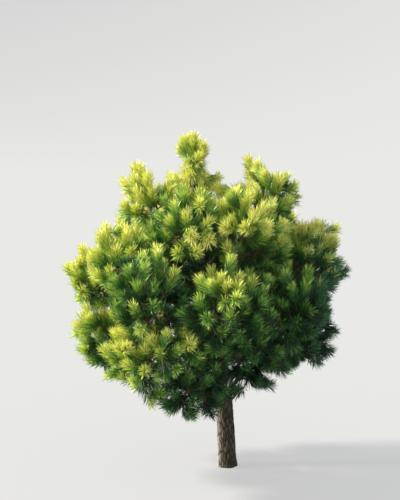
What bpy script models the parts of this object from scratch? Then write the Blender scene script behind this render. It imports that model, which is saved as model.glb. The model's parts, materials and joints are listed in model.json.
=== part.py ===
"""Golden mountain pine grown as a standard: a short bare trunk under a round crown of needle brushes.

Metres, +Z up. The origin is the centre of the flat cut under the trunk, at ground level. +X is to the
right and -Y is towards the viewer when the crown is seen from its front.

The trunk leans a little to the left and runs up to the leader. Boughs leave it, or leave another bough,
and end where they enter a mass of foliage. Each mass grows from one stem by a seeded rule: the stem carries
whorls of sprays and ends in one, and a spray is a slim bent core with needles standing out of its sides.
"""

import math
import random
from collections import namedtuple

import bmesh
import bpy
from mathutils import Matrix, Vector

# Trunk
TRUNK_RADIUS = 0.0370
TRUNK_TIP_RADIUS = 0.0100
TRUNK_TAPER_POWER = 1.5
TRUNK_LEAN = 0.143
TRUNK_LEAN_POWER = 1.55
TRUNK_SIDES = 11
TRUNK_RINGS = 14
TRUNK_RING_CROWDING = 1.25
FLARE_HEIGHT = 0.075
FLARE = 0.13
FLARE_LOBES = 5
FLARE_LOBE_SHARE = 0.35

# Crown
CROWN_AXIS_X = -0.08
CROWN_HEART_Z = 0.50
UPWARD_PULL = 0.75

# Boughs
BOUGH_TIP_RADIUS = 0.0065
BOUGH_THICKENING = 0.016
BOUGH_PARENT_SHARE = 0.70
BOUGH_POINTS = 6
BOUGH_LEAVING = 0.38
BOUGH_ARRIVING = 0.34
BOUGH_RISE = 0.55

# Clearances
GAP = 0.0003
SPACE_GAP = 0.0020
LIMB_CLEARANCE = 0.0010
CLEARANCE_STEPS = 6

# Foliage: a mass's stem carries whorls of sprays and ends in one, and lengths are shares of its radius
SEED = 41
STEM_ENTRY = 0.86
SPACE_REACH = 1.16
STEM_SIDES = 5
STEM_TIP_RADIUS = 0.0045
FULL_MASS_RADIUS = 0.1275
Whorl = namedtuple("Whorl", "place count spread length")
SIDE_WHORLS = (
    Whorl(place=0.40, count=3, spread=math.radians(80), length=0.96),
    Whorl(place=0.66, count=3, spread=math.radians(52), length=0.96),
)
END_SPRAY = Whorl(place=0.88, count=1, spread=0.0, length=0.98)
LENGTH_JITTER = 0.12
ANGLE_JITTER = math.radians(9)
SHORTER = (1.0, 0.85, 0.70, 0.55)

# Sprays: a bent core in bands, with each face of the outer bands drawn out into a needle
SPRAY_RISE = 0.24
CORE_SIDES = 4
CORE_TWIST = math.pi / CORE_SIDES
Ring = namedtuple("Ring", "share radius")
CORE_RINGS = (Ring(0, 0.0030), Ring(0.30, 0.0085), Ring(0.54, 0.0085), Ring(0.78, 0.0070), Ring(1, 0))
NEEDLE_ANGLES = (None, math.radians(56), math.radians(44), math.radians(28))
NEEDLE_LENGTH = 0.062
NEEDLE_ROOT_RADIUS = 0.012

UP = Vector((0, 0, 1))

# bearing is in degrees: 0 to the right, 90 away from the viewer, 180 to the left, 270 towards the viewer
# parent is what the mass's bough leaves, at leaving: a height on the trunk, or a share along a bough
Mass = namedtuple("Mass", "name bearing reach height radius parent leaving")

MASSES = (
    Mass("leader", 180, 0.065, 1.290, 0.070, None, 0),
    Mass("upper_left", 190, 0.242, 1.105, 0.127, "trunk", 0.52),
    Mass("upper_right", 349, 0.226, 1.104, 0.143, "trunk", 0.60),
    Mass("upper_back", 110, 0.165, 1.085, 0.145, "trunk", 0.76),
    Mass("upper_front", 255, 0.270, 1.010, 0.157, "trunk", 0.68),
    Mass("upper_front_right", 296, 0.296, 0.984, 0.169, "trunk", 0.56),
    Mass("left_shoulder", 206, 0.383, 0.892, 0.130, "upper_left", 0.40),
    Mass("right_shoulder", 346, 0.398, 0.884, 0.148, "upper_right", 0.28),
    Mass("back_right_shoulder", 41, 0.350, 0.925, 0.150, "upper_right", 0.46),
    Mass("back_left_shoulder", 132, 0.365, 0.920, 0.150, "upper_left", 0.56),
    Mass("left", 176, 0.460, 0.778, 0.126, "trunk", 0.44),
    Mass("front_left", 241, 0.445, 0.765, 0.169, "trunk", 0.49),
    Mass("front", 279, 0.460, 0.740, 0.166, "trunk", 0.41),
    Mass("front_right", 316, 0.420, 0.720, 0.160, "trunk", 0.46),
    Mass("right", 13, 0.482, 0.795, 0.106, "right_shoulder", 0.50),
    Mass("back_right", 43, 0.450, 0.690, 0.155, "trunk", 0.50),
    Mass("back", 83, 0.450, 0.730, 0.156, "trunk", 0.45),
    Mass("back_left", 121, 0.460, 0.750, 0.155, "trunk", 0.42),
    Mass("front_hollow", 253, 0.450, 0.595, 0.120, "front_low", 0.48),
    Mass("left_low", 178, 0.408, 0.540, 0.136, "trunk", 0.31),
    Mass("front_left_low", 232, 0.398, 0.542, 0.160, "trunk", 0.25),
    Mass("front_low", 261, 0.336, 0.455, 0.163, "trunk", 0.33),
    Mass("front_right_low", 300, 0.333, 0.556, 0.155, "trunk", 0.28),
    Mass("right_low", 350, 0.382, 0.572, 0.139, "trunk", 0.36),
    Mass("back_right_low", 34, 0.367, 0.508, 0.147, "trunk", 0.30),
    Mass("back_low", 86, 0.360, 0.480, 0.150, "trunk", 0.35),
    Mass("back_left_low", 140, 0.400, 0.500, 0.150, "trunk", 0.27),
    Mass("back_shoulder", 86, 0.300, 0.935, 0.130, "trunk", 0.58),
)

Segment = namedtuple("Segment", "start end start_radius end_radius")
Spray = namedtuple("Spray", "rings needles")


def crown_axis(height):
    return Vector((CROWN_AXIS_X, 0, height))


def centre_of(mass):
    bearing = math.radians(mass.bearing)
    return crown_axis(mass.height) + mass.reach * Vector((math.cos(bearing), math.sin(bearing), 0))


def axis_of(mass):
    """The way a mass grows: out from the crown's heart, pulled upwards."""
    outward = (centre_of(mass) - crown_axis(CROWN_HEART_Z)).normalized()
    return (outward + UPWARD_PULL * UP).normalized()


def entry_of(mass):
    """Where a mass's stem starts, at the inner side of its space."""
    return centre_of(mass) - axis_of(mass) * mass.radius * STEM_ENTRY


TRUNK_TOP = entry_of(MASSES[0]).z


def trunk_point(height):
    share = height / TRUNK_TOP
    return Vector((-TRUNK_LEAN * share**TRUNK_LEAN_POWER, 0, height))


def trunk_radius(height):
    share = min(max(height / TRUNK_TOP, 0), 1)
    return TRUNK_RADIUS + (TRUNK_TIP_RADIUS - TRUNK_RADIUS) * share**TRUNK_TAPER_POWER


def bezier(points, share):
    a, b, c, d = points
    rest = 1 - share
    return rest**3 * a + 3 * rest**2 * share * b + 3 * rest * share**2 * c + share**3 * d


def turned(direction, spread, round_angle):
    """direction tipped away from itself by spread, towards round_angle about it."""
    level = direction.cross(UP)
    side = level.normalized() if level.length > 1e-3 else Vector((1, 0, 0))
    side = Matrix.Rotation(round_angle, 3, direction) @ side
    return (direction * math.cos(spread) + side * math.sin(spread)).normalized()


# Limbs are lists of (point, radius) from root to tip


def trunk_line():
    heights = [TRUNK_TOP * i / TRUNK_RINGS for i in range(TRUNK_RINGS + 1)]
    return [(trunk_point(height), trunk_radius(height)) for height in heights]


def along(line, share):
    """The point, radius and direction at a share of the way along a limb."""
    place = share * (len(line) - 1)
    i = min(int(place), len(line) - 2)
    (a, a_radius), (b, b_radius) = line[i], line[i + 1]
    return a.lerp(b, place - i), a_radius + (b_radius - a_radius) * (place - i), (b - a).normalized()


def bough_line(mass, lines):
    """One tapering limb from its parent's centre line to the mass's entry."""
    if mass.parent == "trunk":
        root, parent_radius, grain = trunk_point(mass.leaving), trunk_radius(mass.leaving), UP
    else:
        root, parent_radius, grain = along(lines[mass.parent], mass.leaving)
    tip = entry_of(mass)
    length = (tip - root).length
    level = Vector((tip.x - root.x, tip.y - root.y, 0)).normalized()
    leaving = (level + BOUGH_RISE * grain).normalized()
    rising = root + leaving * length * BOUGH_LEAVING
    arriving = tip - axis_of(mass) * length * BOUGH_ARRIVING
    root_radius = min(BOUGH_TIP_RADIUS + BOUGH_THICKENING * length, parent_radius * BOUGH_PARENT_SHARE)
    line = []
    for i in range(BOUGH_POINTS):
        share = i / (BOUGH_POINTS - 1)
        radius = root_radius + (BOUGH_TIP_RADIUS - root_radius) * share
        line.append((bezier((root, rising, arriving, tip), share), radius))
    return line


def limb_lines():
    """The trunk's line, then each bough's as soon as its parent's is known."""
    lines = {"trunk": trunk_line()}
    waiting = [mass for mass in MASSES if mass.parent]
    while waiting:
        ready = [mass for mass in waiting if mass.parent in lines]
        for mass in ready:
            lines[mass.name] = bough_line(mass, lines)
            waiting.remove(mass)
    return lines


def ending_of(mass, lines):
    """Where the limb under a mass ends, and which way its flat end faces."""
    if not mass.parent:
        return lines["trunk"][-1][0], UP
    (before, _), (tip, _) = lines[mass.name][-2:]
    return tip, (tip - before).normalized()


class Space:
    """A mass's own space: a ball, cut by a plane towards each neighbour, less the limbs that cross it."""

    def __init__(self, mass, lines):
        self.centre = centre_of(mass)
        self.radius = mass.radius * SPACE_REACH
        self.planes = [self.plane_to(other) for other in MASSES if other is not mass]
        self.limbs = [
            (a, b, max(a_radius, b_radius))
            for line in lines.values()
            for (a, a_radius), (b, b_radius) in zip(line, line[1:])
            if min((a - self.centre).length, (b - self.centre).length) < 3 * self.radius
        ]

    def plane_to(self, other):
        way = centre_of(other) - self.centre
        distance = way.length
        other_radius = other.radius * SPACE_REACH
        share = (distance**2 + self.radius**2 - other_radius**2) / (2 * distance)
        normal = way / distance
        return normal, normal.dot(self.centre) + share - SPACE_GAP / 2

    def holds(self, point, margin):
        if (point - self.centre).length > self.radius - margin:
            return False
        return all(normal.dot(point) <= limit - margin for normal, limit in self.planes)

    def clear_of_limbs(self, piece):
        for i in range(CLEARANCE_STEPS + 1):
            share = i / CLEARANCE_STEPS
            point = piece.start.lerp(piece.end, share)
            thick = piece.start_radius + (piece.end_radius - piece.start_radius) * share
            for a, b, radius in self.limbs:
                way = b - a
                nearest = a + way * min(max((point - a).dot(way) / way.length_squared, 0), 1)
                if (point - nearest).length < radius + thick + LIMB_CLEARANCE:
                    return False
        return True

    def takes(self, piece):
        return (
            self.holds(piece.start, piece.start_radius)
            and self.holds(piece.end, piece.end_radius)
            and self.clear_of_limbs(piece)
        )


def spine(hub, way, length, share):
    """The point and direction at a share of the way along a spray, which bends upwards."""
    point = hub + length * (share * way + SPRAY_RISE * share**2 * UP)
    return point, (way + 2 * SPRAY_RISE * share * UP).normalized()


def needle_tips(space, hub, way, length, first, rng):
    """The needle's tip for each face of each band, or None where no needle grows or fits."""
    tips = []
    for band, angle in enumerate(NEEDLE_ANGLES):
        middle = (CORE_RINGS[band].share + CORE_RINGS[band + 1].share) / 2
        root, direction = spine(hub, way, length, middle)
        for side in range(CORE_SIDES):
            stretch = 1 + rng.uniform(-LENGTH_JITTER, LENGTH_JITTER)
            tip = None
            if angle:
                round_angle = first + band * CORE_TWIST + (side + 1) * 2 * CORE_TWIST
                leaning = turned(direction, angle, round_angle)
                ends = (root + leaning * NEEDLE_LENGTH * stretch * shorter for shorter in SHORTER)
                fitting = (end for end in ends if space.takes(Segment(root, end, NEEDLE_ROOT_RADIUS, 0)))
                tip = next(fitting, None)
            tips.append(tip)
    return tips


def spray(space, hub, way, length, rng):
    """A spray as the corners of its core's rings and the tips of its needles, or None if it won't fit."""
    first = rng.uniform(0, 2 * math.pi)
    for shorter in SHORTER:
        reach = length * shorter
        places = [spine(hub, way, reach, ring.share) for ring in CORE_RINGS]
        steps = [
            Segment(a, b, ring.radius, ring.radius)
            for ring, (a, _), (b, _) in zip(CORE_RINGS[1:], places[1:], places[2:])
        ]
        if all(space.takes(step) for step in steps):
            rings = []
            for i, (ring, (centre, direction)) in enumerate(zip(CORE_RINGS, places)):
                angles = [first + (i + 2 * side) * CORE_TWIST for side in range(CORE_SIDES)]
                rings.append([centre + ring.radius * turned(direction, math.pi / 2, a) for a in angles])
            return Spray(rings, needle_tips(space, hub, way, reach, first, rng))
    return None


def foliage(mass, tip, ending, space, rng):
    """The stem of one mass, and the sprays of its whorls and its end."""
    root = tip + ending * GAP
    stem = Segment(root, root + ending * mass.radius * END_SPRAY.place, BOUGH_TIP_RADIUS, STEM_TIP_RADIUS)
    fullness = mass.radius / FULL_MASS_RADIUS
    whorls = [(whorl, round(whorl.count * fullness)) for whorl in SIDE_WHORLS] + [(END_SPRAY, 1)]
    sprays = []
    for whorl, count in whorls:
        hub = root + ending * mass.radius * whorl.place
        first = rng.uniform(0, 2 * math.pi)
        for i in range(count):
            spread = whorl.spread + rng.uniform(-ANGLE_JITTER, ANGLE_JITTER)
            way = turned(ending, spread, first + i * 2 * math.pi / count)
            stretch = 1 + rng.uniform(-LENGTH_JITTER, LENGTH_JITTER)
            sprays.append(spray(space, hub, way, mass.radius * whorl.length * stretch, rng))
    return stem, [grown for grown in sprays if grown]


# Materials


def plain_material(name, colour, roughness):
    material = bpy.data.materials.new(name)
    material.use_nodes = True
    shader = material.node_tree.nodes["Principled BSDF"]
    shader.inputs["Base Color"].default_value = (*colour, 1)
    shader.inputs["Roughness"].default_value = roughness
    shader.inputs["Metallic"].default_value = 0.0
    return material


# Solids


def collection_named(name):
    collection = bpy.data.collections.new(name)
    bpy.context.scene.collection.children.link(collection)
    return collection


def object_of(bm, name, collection):
    mesh = bpy.data.meshes.new(name)
    bm.to_mesh(mesh)
    bm.free()
    made = bpy.data.objects.new(name, mesh)
    collection.objects.link(made)
    return made


def evaluated_mesh(made):
    graph = bpy.context.evaluated_depsgraph_get()
    return bpy.data.meshes.new_from_object(made.evaluated_get(graph))


def ringed_pole(sides, bands):
    """A closed round pole of unit size, cut into bands along Z, for its rings to be placed one by one."""
    bm = bmesh.new()
    bmesh.ops.create_cone(bm, cap_ends=True, segments=sides, radius1=1, radius2=1, depth=1)
    upright = [edge for edge in bm.edges if abs(edge.verts[0].co.z - edge.verts[1].co.z) > 0.5]
    bmesh.ops.subdivide_edges(bm, edges=upright, cuts=bands - 1, use_grid_fill=True)
    return bm


def trunk_solid(name, collection, extra=0.0):
    """A pole set along the trunk's line, with root lobes round its foot."""
    bm = ringed_pole(TRUNK_SIDES, TRUNK_RINGS)
    for vert in bm.verts:
        height = TRUNK_TOP * (vert.co.z + 0.5) ** TRUNK_RING_CROWDING
        round_angle = math.atan2(vert.co.y, vert.co.x)
        foot = max(0, 1 - height / FLARE_HEIGHT) ** 2
        lobes = 1 + FLARE_LOBE_SHARE * math.cos(FLARE_LOBES * round_angle)
        radius = trunk_radius(height) * (1 + FLARE * foot * lobes) + extra
        vert.co = trunk_point(height) + radius * Vector((math.cos(round_angle), math.sin(round_angle), 0))
    return object_of(bm, name, collection)


def limb_solid(name, collection, line, extra=0.0):
    """A bevelled curve through a limb's points, each with its own radius, as a closed mesh."""
    curve = bpy.data.curves.new(name, "CURVE")
    curve.dimensions = "3D"
    curve.bevel_depth = 1
    curve.bevel_resolution = 1
    curve.use_fill_caps = True
    spline = curve.splines.new("POLY")
    spline.points.add(len(line) - 1)
    for point, (place, radius) in zip(spline.points, line):
        point.co = (*place, 1)
        point.radius = radius + extra
    guide = bpy.data.objects.new(name + "_curve", curve)
    collection.objects.link(guide)
    mesh = evaluated_mesh(guide)
    bpy.data.objects.remove(guide)
    bpy.data.curves.remove(curve)
    bm = bmesh.new()
    bm.from_mesh(mesh)
    bpy.data.meshes.remove(mesh)
    bmesh.ops.remove_doubles(bm, verts=bm.verts, dist=1e-5)
    bmesh.ops.recalc_face_normals(bm, faces=bm.faces)
    return object_of(bm, name, collection)


def stem_solid(stem, name, collection):
    """A cone between the stem's two ends."""
    way = stem.end - stem.start
    bm = bmesh.new()
    bmesh.ops.create_cone(
        bm,
        cap_ends=True,
        segments=STEM_SIDES,
        radius1=stem.start_radius,
        radius2=stem.end_radius,
        depth=way.length,
    )
    turn = way.to_track_quat("Z", "Y").to_matrix().to_4x4()
    bm.transform(Matrix.Translation((stem.start + stem.end) / 2) @ turn)
    return object_of(bm, name, collection)


def spray_solid(grown, name, collection):
    """A pole set along the spray's core, with its faces poked out to the needles' tips."""
    bands = len(CORE_RINGS) - 1
    bm = ringed_pole(CORE_SIDES, bands)
    drawn = []
    for face in bm.faces:
        middle = face.calc_center_median()
        if abs(middle.z) < 0.5 - 0.25 / bands:
            band = int((middle.z + 0.5) * bands)
            side = round(math.atan2(middle.y, middle.x) / (2 * CORE_TWIST) - 0.5) % CORE_SIDES
            drawn.append((face, grown.needles[band * CORE_SIDES + side]))
    for vert in bm.verts:
        ring = round((vert.co.z + 0.5) * bands)
        side = round(math.atan2(vert.co.y, vert.co.x) / (2 * CORE_TWIST)) % CORE_SIDES
        vert.co = grown.rings[ring][side]
    for face, tip in drawn:
        if tip:
            poked = bmesh.ops.poke(bm, faces=[face])
            poked["verts"][0].co = tip
    bmesh.ops.remove_doubles(bm, verts=bm.verts, dist=1e-6)
    bmesh.ops.recalc_face_normals(bm, faces=bm.faces)
    return object_of(bm, name, collection)


def keep_largest_body(bm):
    """Drops all but the largest connected body, so that no loose scrap or sealed hollow is left."""
    unseen = set(bm.verts)
    bodies = []
    while unseen:
        body, edge = set(), {next(iter(unseen))}
        while edge:
            body |= edge
            edge = {e.other_vert(v) for v in edge for e in v.link_edges} - body
        unseen -= body
        bodies.append(body)
    bodies.sort(key=len)
    for body in bodies[:-1]:
        bmesh.ops.delete(bm, geom=list(body), context="VERTS")


def fused(name, stem, sprays, collection):
    """One solid: the stem with its sprays joined on by one Boolean union on a collection of them."""
    base = stem_solid(stem, name, collection)
    operands = collection_named(name + "_sprays")
    for i, grown in enumerate(sprays):
        spray_solid(grown, f"{name}_spray_{i}", operands)
    join = base.modifiers.new("Join sprays", "BOOLEAN")
    join.operation = "UNION"
    join.operand_type = "COLLECTION"
    join.collection = operands
    join.solver = "EXACT"
    mesh = evaluated_mesh(base)
    base.modifiers.clear()
    for piece in list(operands.objects):
        bpy.data.objects.remove(piece)
    bpy.data.collections.remove(operands)
    bm = bmesh.new()
    bm.from_mesh(mesh)
    bpy.data.meshes.remove(mesh)
    bmesh.ops.remove_doubles(bm, verts=bm.verts, dist=1e-6)
    keep_largest_body(bm)
    bm.to_mesh(base.data)
    bm.free()
    return base


def finish(made, material, crease):
    made.data.materials.clear()
    made.data.materials.append(material)
    made.data.shade_smooth()
    made.data.set_sharp_from_angle(angle=crease)


def cut_clear(bough, cutter):
    """Cuts a bough's root to its parent's surface, 0.3 mm clear of it."""
    cut = bough.modifiers.new("Meet parent", "BOOLEAN")
    cut.operation = "DIFFERENCE"
    cut.object = cutter
    cut.solver = "EXACT"


def parent_cutters(lines, collection):
    """The trunk and each bough that carries another, thicker by the gap."""
    cutters = {}
    for name in sorted({mass.parent for mass in MASSES if mass.parent}):
        if name == "trunk":
            cutters[name] = trunk_solid("trunk_cutter", collection, GAP)
        else:
            cutters[name] = limb_solid(f"bough_{name}_cutter", collection, lines[name], GAP)
        cutters[name].hide_render = True
        cutters[name].display_type = "WIRE"
    return cutters


def build():
    for old in list(bpy.data.objects):
        bpy.data.objects.remove(old)
    plant = collection_named("ophir_mountain_pine_standard")
    bark_brown = plain_material("bark_brown", (0.17, 0.11, 0.075), 0.90)
    bough_brown = plain_material("bough_brown", (0.13, 0.085, 0.055), 0.90)
    needle_gold = plain_material("needle_gold", (0.60, 0.60, 0.06), 0.55)
    needle_green = plain_material("needle_green", (0.12, 0.24, 0.04), 0.55)
    limb_crease, needle_crease = math.radians(40), math.radians(25)
    gold_above = CROWN_HEART_Z + 0.2

    lines = limb_lines()
    cutters = parent_cutters(lines, collection_named("cutters"))
    finish(trunk_solid("trunk", plant), bark_brown, limb_crease)
    for index, mass in enumerate(MASSES):
        if mass.parent:
            bough = limb_solid(f"bough_{mass.name}", plant, lines[mass.name])
            cut_clear(bough, cutters[mass.parent])
            finish(bough, bough_brown, limb_crease)
        tip, ending = ending_of(mass, lines)
        stem, sprays = foliage(mass, tip, ending, Space(mass, lines), random.Random(SEED + index))
        leaves = fused(f"foliage_{mass.name}", stem, sprays, plant)
        finish(leaves, needle_gold if mass.height > gold_above else needle_green, needle_crease)


build()
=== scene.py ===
"""Golden mountain pine grown as a standard: its bark, twigs, buds and needles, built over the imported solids.

Metres, +Z up. The origin is the centre of the flat cut under the trunk, at ground level. +X is to the right
and -Y is towards the viewer when the crown is seen from its front.

The limbs, and the stem and sprays of each mass of foliage, follow the same sizes and the same seeded rule as
the solids. Here each spray is carried on to finer shoots, and every shoot is dressed with needles.
"""

import functools
import json
import math
import random
from collections import namedtuple

import bmesh
import bpy
from bpy.props import FloatProperty, FloatVectorProperty, IntProperty, PointerProperty
from mathutils import Matrix, Vector

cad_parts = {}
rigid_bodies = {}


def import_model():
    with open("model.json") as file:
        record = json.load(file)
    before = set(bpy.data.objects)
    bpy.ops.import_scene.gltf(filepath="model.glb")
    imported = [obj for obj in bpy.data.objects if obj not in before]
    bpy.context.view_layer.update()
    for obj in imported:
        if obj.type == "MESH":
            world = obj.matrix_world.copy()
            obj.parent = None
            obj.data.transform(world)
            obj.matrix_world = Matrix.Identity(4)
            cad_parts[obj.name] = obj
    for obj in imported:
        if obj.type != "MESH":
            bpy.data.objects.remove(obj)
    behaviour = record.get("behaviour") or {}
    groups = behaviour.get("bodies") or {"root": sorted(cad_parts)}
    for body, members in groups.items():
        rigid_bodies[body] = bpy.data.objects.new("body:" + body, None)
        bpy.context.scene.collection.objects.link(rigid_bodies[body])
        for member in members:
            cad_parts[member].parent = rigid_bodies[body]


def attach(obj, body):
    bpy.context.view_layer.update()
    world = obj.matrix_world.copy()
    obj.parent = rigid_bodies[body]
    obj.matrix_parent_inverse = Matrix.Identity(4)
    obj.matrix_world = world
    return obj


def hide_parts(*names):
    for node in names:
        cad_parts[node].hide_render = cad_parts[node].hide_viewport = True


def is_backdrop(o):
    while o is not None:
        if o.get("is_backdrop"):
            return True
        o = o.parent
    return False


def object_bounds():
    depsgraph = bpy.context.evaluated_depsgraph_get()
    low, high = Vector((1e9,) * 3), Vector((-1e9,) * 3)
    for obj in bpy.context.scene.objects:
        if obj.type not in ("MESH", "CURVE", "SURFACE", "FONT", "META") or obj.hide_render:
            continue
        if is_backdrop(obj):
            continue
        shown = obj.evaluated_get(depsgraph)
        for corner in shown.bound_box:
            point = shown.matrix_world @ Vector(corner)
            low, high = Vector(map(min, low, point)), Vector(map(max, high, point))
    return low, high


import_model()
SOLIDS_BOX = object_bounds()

bl_info = {
    "name": "Mountain Pine Standard",
    "version": (1, 0, 0),
    "blender": (4, 5, 0),
    "location": "3D View > Sidebar > Pine",
    "description": "Grows bark, twigs, buds and needles over the packed solids of a mountain pine standard",
    "category": "Add Mesh",
}

# Trunk
TRUNK_RADIUS = 0.0370
TRUNK_TIP_RADIUS = 0.0100
TRUNK_TAPER_POWER = 1.5
TRUNK_LEAN = 0.143
TRUNK_LEAN_POWER = 1.55
TRUNK_RINGS = 14
FLARE_HEIGHT = 0.075
FLARE = 0.13
FLARE_LOBES = 5
FLARE_LOBE_SHARE = 0.35

# Crown
CROWN_AXIS_X = -0.08
CROWN_HEART_Z = 0.50
UPWARD_PULL = 0.75

# Boughs
BOUGH_TIP_RADIUS = 0.0065
BOUGH_THICKENING = 0.016
BOUGH_PARENT_SHARE = 0.70
BOUGH_POINTS = 6
BOUGH_LEAVING = 0.38
BOUGH_ARRIVING = 0.34
BOUGH_RISE = 0.55

# Clearances
GAP = 0.0003
SPACE_GAP = 0.0020
LIMB_CLEARANCE = 0.0010
CLEARANCE_STEPS = 6
LIMBS_WITHIN = 3

# Foliage: a mass's stem carries whorls of sprays and ends in one, and lengths are shares of its radius
SEED = 41
STEM_ENTRY = 0.86
SPACE_REACH = 1.16
STEM_TIP_RADIUS = 0.0045
FULL_MASS_RADIUS = 0.1275
Whorl = namedtuple("Whorl", "place count spread length")
SIDE_WHORLS = (
    Whorl(place=0.40, count=3, spread=math.radians(80), length=0.96),
    Whorl(place=0.66, count=3, spread=math.radians(52), length=0.96),
)
END_SPRAY = Whorl(place=0.88, count=1, spread=0.0, length=0.98)
LENGTH_JITTER = 0.12
ANGLE_JITTER = math.radians(9)
SHORTER = (1.0, 0.85, 0.70, 0.55)
SPRAY_RISE = 0.24
SPRAY_STEPS = ((0.30, 0.0085), (0.54, 0.0085), (0.78, 0.0070), (1.0, 0.0))
SPRAY_DRAWS = 16

UP = Vector((0, 0, 1))

# bearing is in degrees: 0 to the right, 90 away from the viewer, 180 to the left, 270 towards the viewer
# parent is what the mass's bough leaves, at leaving: a height on the trunk, or a share along a bough
# the last number is how much more golden the mass is than the rest: partly its own tone, and partly painted
# light and shade, lighter for masses in sun and darker for masses in shade
Mass = namedtuple("Mass", "name bearing reach height radius parent leaving tone", defaults=(0,))

MASSES = (
    Mass("leader", 180, 0.065, 1.290, 0.070, None, 0, 0.12),
    Mass("upper_left", 190, 0.242, 1.105, 0.127, "trunk", 0.52, 0.08),
    Mass("upper_right", 349, 0.226, 1.104, 0.143, "trunk", 0.60, 0.20),
    Mass("upper_back", 110, 0.165, 1.085, 0.145, "trunk", 0.76, 0.50),
    Mass("upper_front", 255, 0.270, 1.010, 0.157, "trunk", 0.68, -0.25),
    Mass("upper_front_right", 296, 0.296, 0.984, 0.169, "trunk", 0.56, 0.18),
    Mass("left_shoulder", 206, 0.383, 0.892, 0.130, "upper_left", 0.40, 0.04),
    Mass("right_shoulder", 346, 0.398, 0.884, 0.148, "upper_right", 0.28, 0.28),
    Mass("back_right_shoulder", 41, 0.350, 0.925, 0.150, "upper_right", 0.46, 0.12),
    Mass("back_left_shoulder", 132, 0.365, 0.920, 0.150, "upper_left", 0.56),
    Mass("left", 176, 0.460, 0.778, 0.126, "trunk", 0.44, 0.02),
    Mass("front_left", 241, 0.445, 0.765, 0.169, "trunk", 0.49, -0.25),
    Mass("front", 279, 0.460, 0.740, 0.166, "trunk", 0.41, 0.06),
    Mass("front_right", 316, 0.420, 0.720, 0.160, "trunk", 0.46),
    Mass("right", 13, 0.482, 0.795, 0.106, "right_shoulder", 0.50, 0.05),
    Mass("back_right", 43, 0.450, 0.690, 0.155, "trunk", 0.50),
    Mass("back", 83, 0.450, 0.730, 0.156, "trunk", 0.45),
    Mass("back_left", 121, 0.460, 0.750, 0.155, "trunk", 0.42),
    Mass("front_hollow", 253, 0.450, 0.595, 0.120, "front_low", 0.48, 0.16),
    Mass("left_low", 178, 0.408, 0.540, 0.136, "trunk", 0.31, 0.04),
    Mass("front_left_low", 232, 0.398, 0.542, 0.160, "trunk", 0.25, 0.16),
    Mass("front_low", 261, 0.336, 0.455, 0.163, "trunk", 0.33, -0.08),
    Mass("front_right_low", 300, 0.333, 0.556, 0.155, "trunk", 0.28),
    Mass("right_low", 350, 0.382, 0.572, 0.139, "trunk", 0.36),
    Mass("back_right_low", 34, 0.367, 0.508, 0.147, "trunk", 0.30),
    Mass("back_low", 86, 0.360, 0.480, 0.150, "trunk", 0.35),
    Mass("back_left_low", 140, 0.400, 0.500, 0.150, "trunk", 0.27),
    Mass("back_shoulder", 86, 0.300, 0.935, 0.130, "trunk", 0.58),
)

Segment = namedtuple("Segment", "start end start_radius end_radius")


# The rule of the solids


def mixed(a, b, share):
    return a + (b - a) * share


def from_none_to_all(share):
    return min(max(share, 0), 1)


def crown_axis(height):
    return Vector((CROWN_AXIS_X, 0, height))


def centre_of(mass):
    bearing = math.radians(mass.bearing)
    return crown_axis(mass.height) + mass.reach * Vector((math.cos(bearing), math.sin(bearing), 0))


def axis_of(mass):
    """The way a mass grows: out from the crown's heart, pulled upwards."""
    outward = (centre_of(mass) - crown_axis(CROWN_HEART_Z)).normalized()
    return (outward + UPWARD_PULL * UP).normalized()


def entry_of(mass):
    """Where a mass's stem starts, at the inner side of its space."""
    return centre_of(mass) - axis_of(mass) * mass.radius * STEM_ENTRY


TRUNK_TOP = entry_of(MASSES[0]).z


def trunk_point(height):
    share = height / TRUNK_TOP
    return Vector((-TRUNK_LEAN * share**TRUNK_LEAN_POWER, 0, height))


def trunk_radius(height):
    share = from_none_to_all(height / TRUNK_TOP)
    return mixed(TRUNK_RADIUS, TRUNK_TIP_RADIUS, share**TRUNK_TAPER_POWER)


def bezier(points, share):
    a, b, c, d = points
    rest = 1 - share
    return rest**3 * a + 3 * rest**2 * share * b + 3 * rest * share**2 * c + share**3 * d


def turned(direction, spread, round_angle):
    """direction tipped away from itself by spread, towards round_angle about it."""
    level = direction.cross(UP)
    side = level.normalized() if level.length > 1e-3 else Vector((1, 0, 0))
    side = Matrix.Rotation(round_angle, 3, direction) @ side
    return (direction * math.cos(spread) + side * math.sin(spread)).normalized()


def trunk_line():
    heights = [TRUNK_TOP * i / TRUNK_RINGS for i in range(TRUNK_RINGS + 1)]
    return [(trunk_point(height), trunk_radius(height)) for height in heights]


def along(line, share):
    """The point, radius and direction at a share of the way along a limb."""
    place = share * (len(line) - 1)
    i = min(int(place), len(line) - 2)
    (a, a_radius), (b, b_radius) = line[i], line[i + 1]
    return a.lerp(b, place - i), mixed(a_radius, b_radius, place - i), (b - a).normalized()


def line_through(place_at, radii, steps):
    """A line as (point, radius) from root to tip, through the places at even shares of the way."""
    return [(place_at(i / steps), mixed(*radii, i / steps)) for i in range(steps + 1)]


def bough_line(mass, lines, steps=BOUGH_POINTS):
    """One tapering limb from its parent's centre line to the mass's entry."""
    if mass.parent == "trunk":
        root, parent_radius, grain = trunk_point(mass.leaving), trunk_radius(mass.leaving), UP
    else:
        root, parent_radius, grain = along(lines[mass.parent], mass.leaving)
    tip = entry_of(mass)
    length = (tip - root).length
    level = Vector((tip.x - root.x, tip.y - root.y, 0)).normalized()
    leaving = (level + BOUGH_RISE * grain).normalized()
    rising = root + leaving * length * BOUGH_LEAVING
    arriving = tip - axis_of(mass) * length * BOUGH_ARRIVING
    root_radius = min(BOUGH_TIP_RADIUS + BOUGH_THICKENING * length, parent_radius * BOUGH_PARENT_SHARE)
    points = (root, rising, arriving, tip)
    return line_through(lambda share: bezier(points, share), (root_radius, BOUGH_TIP_RADIUS), steps - 1)


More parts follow.
